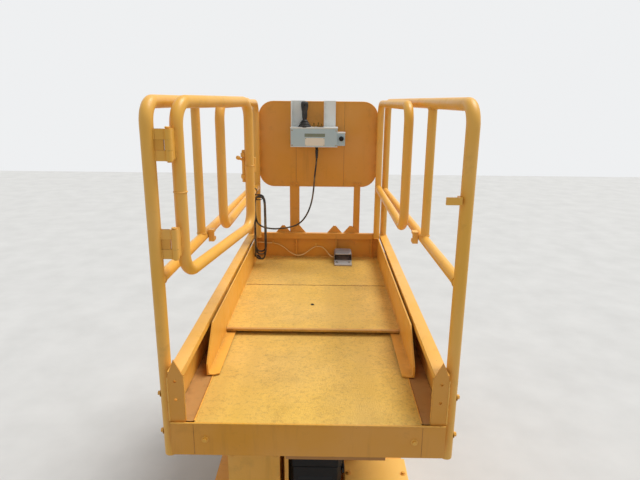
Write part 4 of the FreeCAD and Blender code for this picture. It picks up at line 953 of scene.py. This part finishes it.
nipple = [(0.0045, 0.0), (0.0045, 0.003), (0.0026, 0.0036), (0.003, 0.006), (0.0014, 0.0076)]
for level in (1, 2, 3, 4):
    pivots = [link / 2] + ([link] if level < 4 else []) + ([0.0] if level > 1 else [])
    caps, outer_rings, inner_rings = [], [], []
    nipples = bmesh.new()
    for sign in (1, -1):
        outward = (sign, 0, 0)
        for along in pivots:
            pivot = on_arm(level, along)
            caps.append(((sign * 0.25, *pivot), outward, 0.024))
            outer_rings.append(((sign * 0.247, *pivot), (1, 0, 0), 0.0298))
        for along in (0.0, link):
            inner_rings.append(((sign * 0.159, *on_arm(level, along, 0.0, True)), (1, 0, 0), 0.0312))
        for along in (0.06, link / 2 + 0.048, link - 0.06):
            lathe(nipples, nipple, facing((sign * 0.2459, *on_arm(level, along)), outward), 12)
    outer, inner = "outer_%d" % level, "inner_%d" % level
    heads("pin_bolts_%d" % level, outer, yellow_low, caps)
    beads("pin_cap_welds_%d" % level, outer, yellow_low, outer_rings, 0.0022)
    beads("cross_tube_welds_%d" % level, inner, yellow_low, inner_rings, 0.003)
    finish_mesh("grease_nipples_%d" % level, nipples, outer, zinc)

# Lift cylinder's gland, fitting and pipe
# A screwed gland closes the steel barrel between two welded collars.
# A zinc-plated pipe, clamped by two bands, feeds it.
ram_foot, ram_eye = (Vector((0.0, *on_arm(*spot, True))) for spot in ((1, 0.39, -0.026), (2, 0.898, 0.026)))
ram_axis = (ram_eye - ram_foot).normalized()
ram_spot = facing(ram_foot, ram_axis)
gland_along = (ram_eye - ram_foot).length - 0.062
gland = bmesh.new()
gland_form = [(0.0365, 0.0), (0.0365, 0.008), (0.034, 0.0105), (0.027, 0.011), (0.0262, 0.014)]
gland_form += [(0.0226, 0.0145), (0.0226, 0.0)]
lathe(gland, gland_form, ram_spot @ shift((0, 0, gland_along)), 40)
for start, end in ((0.062, 0.072), (gland_along - 0.014, gland_along - 0.004)):
    collar = [(0.0398, start), (0.0418, start + 0.002), (0.0418, end - 0.002), (0.0398, end)]
    lathe(gland, collar, ram_spot, 40)
finish_mesh("cylinder_gland", gland, "lift_barrel", black_steel)
pipe_side, pipe_round = 0.0475, 0.004
pipe_route = [(pipe_side - 0.006, 0.0, 0.086)]
pipe_route += [(pipe_side, 0.0, along) for along in (0.094, 0.12, 0.22, 0.32, 0.372)]
pipe_route += [(pipe_side, 0.01, 0.392), (0.04, 0.036, 0.402), (0.022, 0.0545, 0.404), (0.006, 0.056, 0.404)]
over = ram_spot.to_3x3() @ Vector((0, 1, 0))
over *= math.copysign(1.0, over.z)
to_right = Vector((1, 0, 0))
pipe_points = [ram_foot + ram_axis * y + over * rise + to_right * side for side, rise, y in pipe_route]
pipe = line_of("cylinder_pipe", [(pipe_points, False)], pipe_round)
settle(pipe, "lift_barrel", zinc)
bands = bmesh.new()
for along in (0.15, 0.29):
    middle = ram_foot + ram_axis * along
    loop_band(bands, middle, ram_axis, 0.04, 0.0012, 0.014, sides=48)
    loop_band(bands, middle + to_right * pipe_side, ram_axis, pipe_round, 0.0012, 0.014, sides=20)
finish_mesh("cylinder_bands", bands, "lift_barrel", zinc)

# Entry ladder's treads and welds
# Each tread bar carries rolled ridges for grip, and its ends are welded to the uprights.
# Pressed caps close the uprights' tops.
ladder_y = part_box("entry_ladder")[0][1] + 0.012
treads = bmesh.new()
ladder_runs = []
ridge = [(0.0108, -0.0026), (0.0122, -0.001), (0.0122, 0.001), (0.0108, 0.0026)]
for step in range(3):
    height = 0.215 + 0.19 * step
    for k in range(29):
        lathe(treads, ridge, facing((-0.126 + k * 0.009, ladder_y, height), (1, 0, 0)), 20)
    ladder_runs += [((side, ladder_y, height), (1, 0, 0), 0.0115) for side in (0.1375, -0.1375)]
tube_cap = [(0.0118, -0.0015), (0.0128, 0.0), (0.0128, 0.0016), (0.008, 0.0046), (0, 0.0056)]
for side in (0.15, -0.15):
    lathe(treads, tube_cap, shift((side, ladder_y, 0.64)))
finish_mesh("ladder_treads", treads, "chassis", yellow_low)
beads("ladder_welds", "chassis", yellow_low, ladder_runs, 0.002)

# Tray doors
# Drop-down doors of folded sheet with pressed louvres and a stiffening rim, one on each side.
# They have slam latches at the top and screwed hinge leaves at the bottom.
door_face = 0.3945
louvre = [(door_face, 0.0), (0.3985, 0.002), (0.399, 0.005), (door_face, 0.012)]
door_rim = [(-0.405, 0.126, 0.405, 0.131), (-0.405, 0.425, 0.405, 0.43)]
door_rim += [(-0.405, 0.126, -0.4, 0.43), (0.4, 0.126, 0.405, 0.43)]
slam_latch = [(0.0165, 0.0), (0.0165, 0.0022), (0.015, 0.0034), (0.011, 0.0034), (0.0105, 0.002), (0, 0.002)]
for side, sign in (("right", 1), ("left", -1)):
    body, outward = "door_" + side, (sign, 0, 0)
    pressed, latches = bmesh.new(), bmesh.new()
    for middle in (-0.235, 0.235):
        for k in range(7):
            low = 0.185 + k * 0.021
            ends = (middle - 0.09, middle + 0.09)
            skin(pressed, [[(sign * x, y, low + z) for x, z in louvre] for y in ends])
    for near, low, far, high in door_rim:
        boxed(pressed, (sign * door_face, near, low), (sign * 0.3968, far, high))
    for along in (-0.33, 0.0, 0.33):
        boxed(pressed, (sign * door_face, along - 0.03, 0.1105), (sign * 0.3972, along + 0.03, 0.15))
        for drift in (-0.018, 0.018):
            spot = facing((sign * 0.397, along + drift, 0.137), outward)
            lathe(latches, [(0.0048, 0.0), (0.0045, 0.0018), (0, 0.0028)], spot, 14)
    for along in (-0.3, 0.3):
        lathe(latches, slam_latch, facing((sign * 0.3948, along, 0.39), outward), 28)
        boxed(latches, (sign * 0.3965, along - 0.002, 0.3815), (sign * 0.399, along + 0.002, 0.3985))
    finish_mesh("door_pressings_" + side, pressed, body, yellow_low, 0.0008)
    finish_mesh("door_latches_" + side, latches, body, zinc)

# Batteries and pump in the trays
# Four black monobloc batteries with red filler caps stand in a row on the left, joined by lead links.
# The pump's steel motor lies on the unit's block on the right, beside its oil cap.
case_first, case_pitch, case_top = -0.393, 0.175, 0.302
filler_cap = [(0.0115, 0.0), (0.0115, 0.005), (0.0095, 0.007), (0, 0.0072)]
post = [(0.0085, 0.0), (0.0075, 0.014), (0, 0.0145)]
caps, posts, cases = bmesh.new(), bmesh.new(), []
for k in range(4):
    low_y = case_first + k * case_pitch
    cases.append(((-0.3335, low_y, 0.294), (-0.2215, low_y + 0.171, case_top)))
    for j in range(3):
        for across in (-0.3, -0.255):
            lathe(caps, filler_cap, shift((across, low_y + 0.035 + j * 0.05, case_top)), 20)
    for along in (0.018, 0.153):
        lathe(posts, post, shift((-0.2775, low_y + along, case_top)), 18)
    if k < 3:
        boxed(posts, (-0.2845, low_y + 0.143, 0.312), (-0.2705, low_y + 0.203, 0.3155))
boxes("battery_lids", "chassis", black_cover, cases, 0.0022)
cap_red = plain("filler cap red", srgb(150, 40, 30), srgb(96, 34, 26), 40.0, 0.4, 0.55)
finish_mesh("battery_caps", caps, "chassis", cap_red, 0.0006)
finish_mesh("battery_posts", posts, "chassis", zinc, 0.0004)
motor = [(0.014, -0.182), (0.026, -0.18), (0.027, -0.172), (0.027, -0.15), (0.0285, -0.148), (0.0285, -0.01)]
motor += [(0.027, -0.008), (0.027, 0.012), (0.02, 0.016), (0.02, 0.034), (0.031, 0.036), (0.031, 0.078)]
motor += [(0.018, 0.08), (0.012, 0.094), (0, 0.095)]
motor_spot = facing((0.275, 0.01, 0.3045), (0, 1, 0))
turned("pump_motor", "chassis", black_steel, motor, motor_spot, 36)
oil_cap = [(0.016, 0.0), (0.016, 0.01), (0.021, 0.012), (0.021, 0.024), (0.018, 0.028), (0, 0.029)]
turned("oil_cap", "chassis", black_cover, oil_cap, shift((0.275, 0.19, 0.274)), 28)

# Kingpin caps
# Turned steel caps close the kingpins above the knuckles.
# They are pressed into the strips and painted with the frame.
kingpins = bmesh.new()
for side in (0.252, -0.252):
    pin_cap = [(0.024, 0.0), (0.024, 0.003), (0.021, 0.0065), (0.01, 0.0085), (0, 0.009)]
    lathe(kingpins, pin_cap, shift((side, axle_along, 0.453)), 30)
finish_mesh("kingpin_caps", kingpins, "chassis", yellow_low)
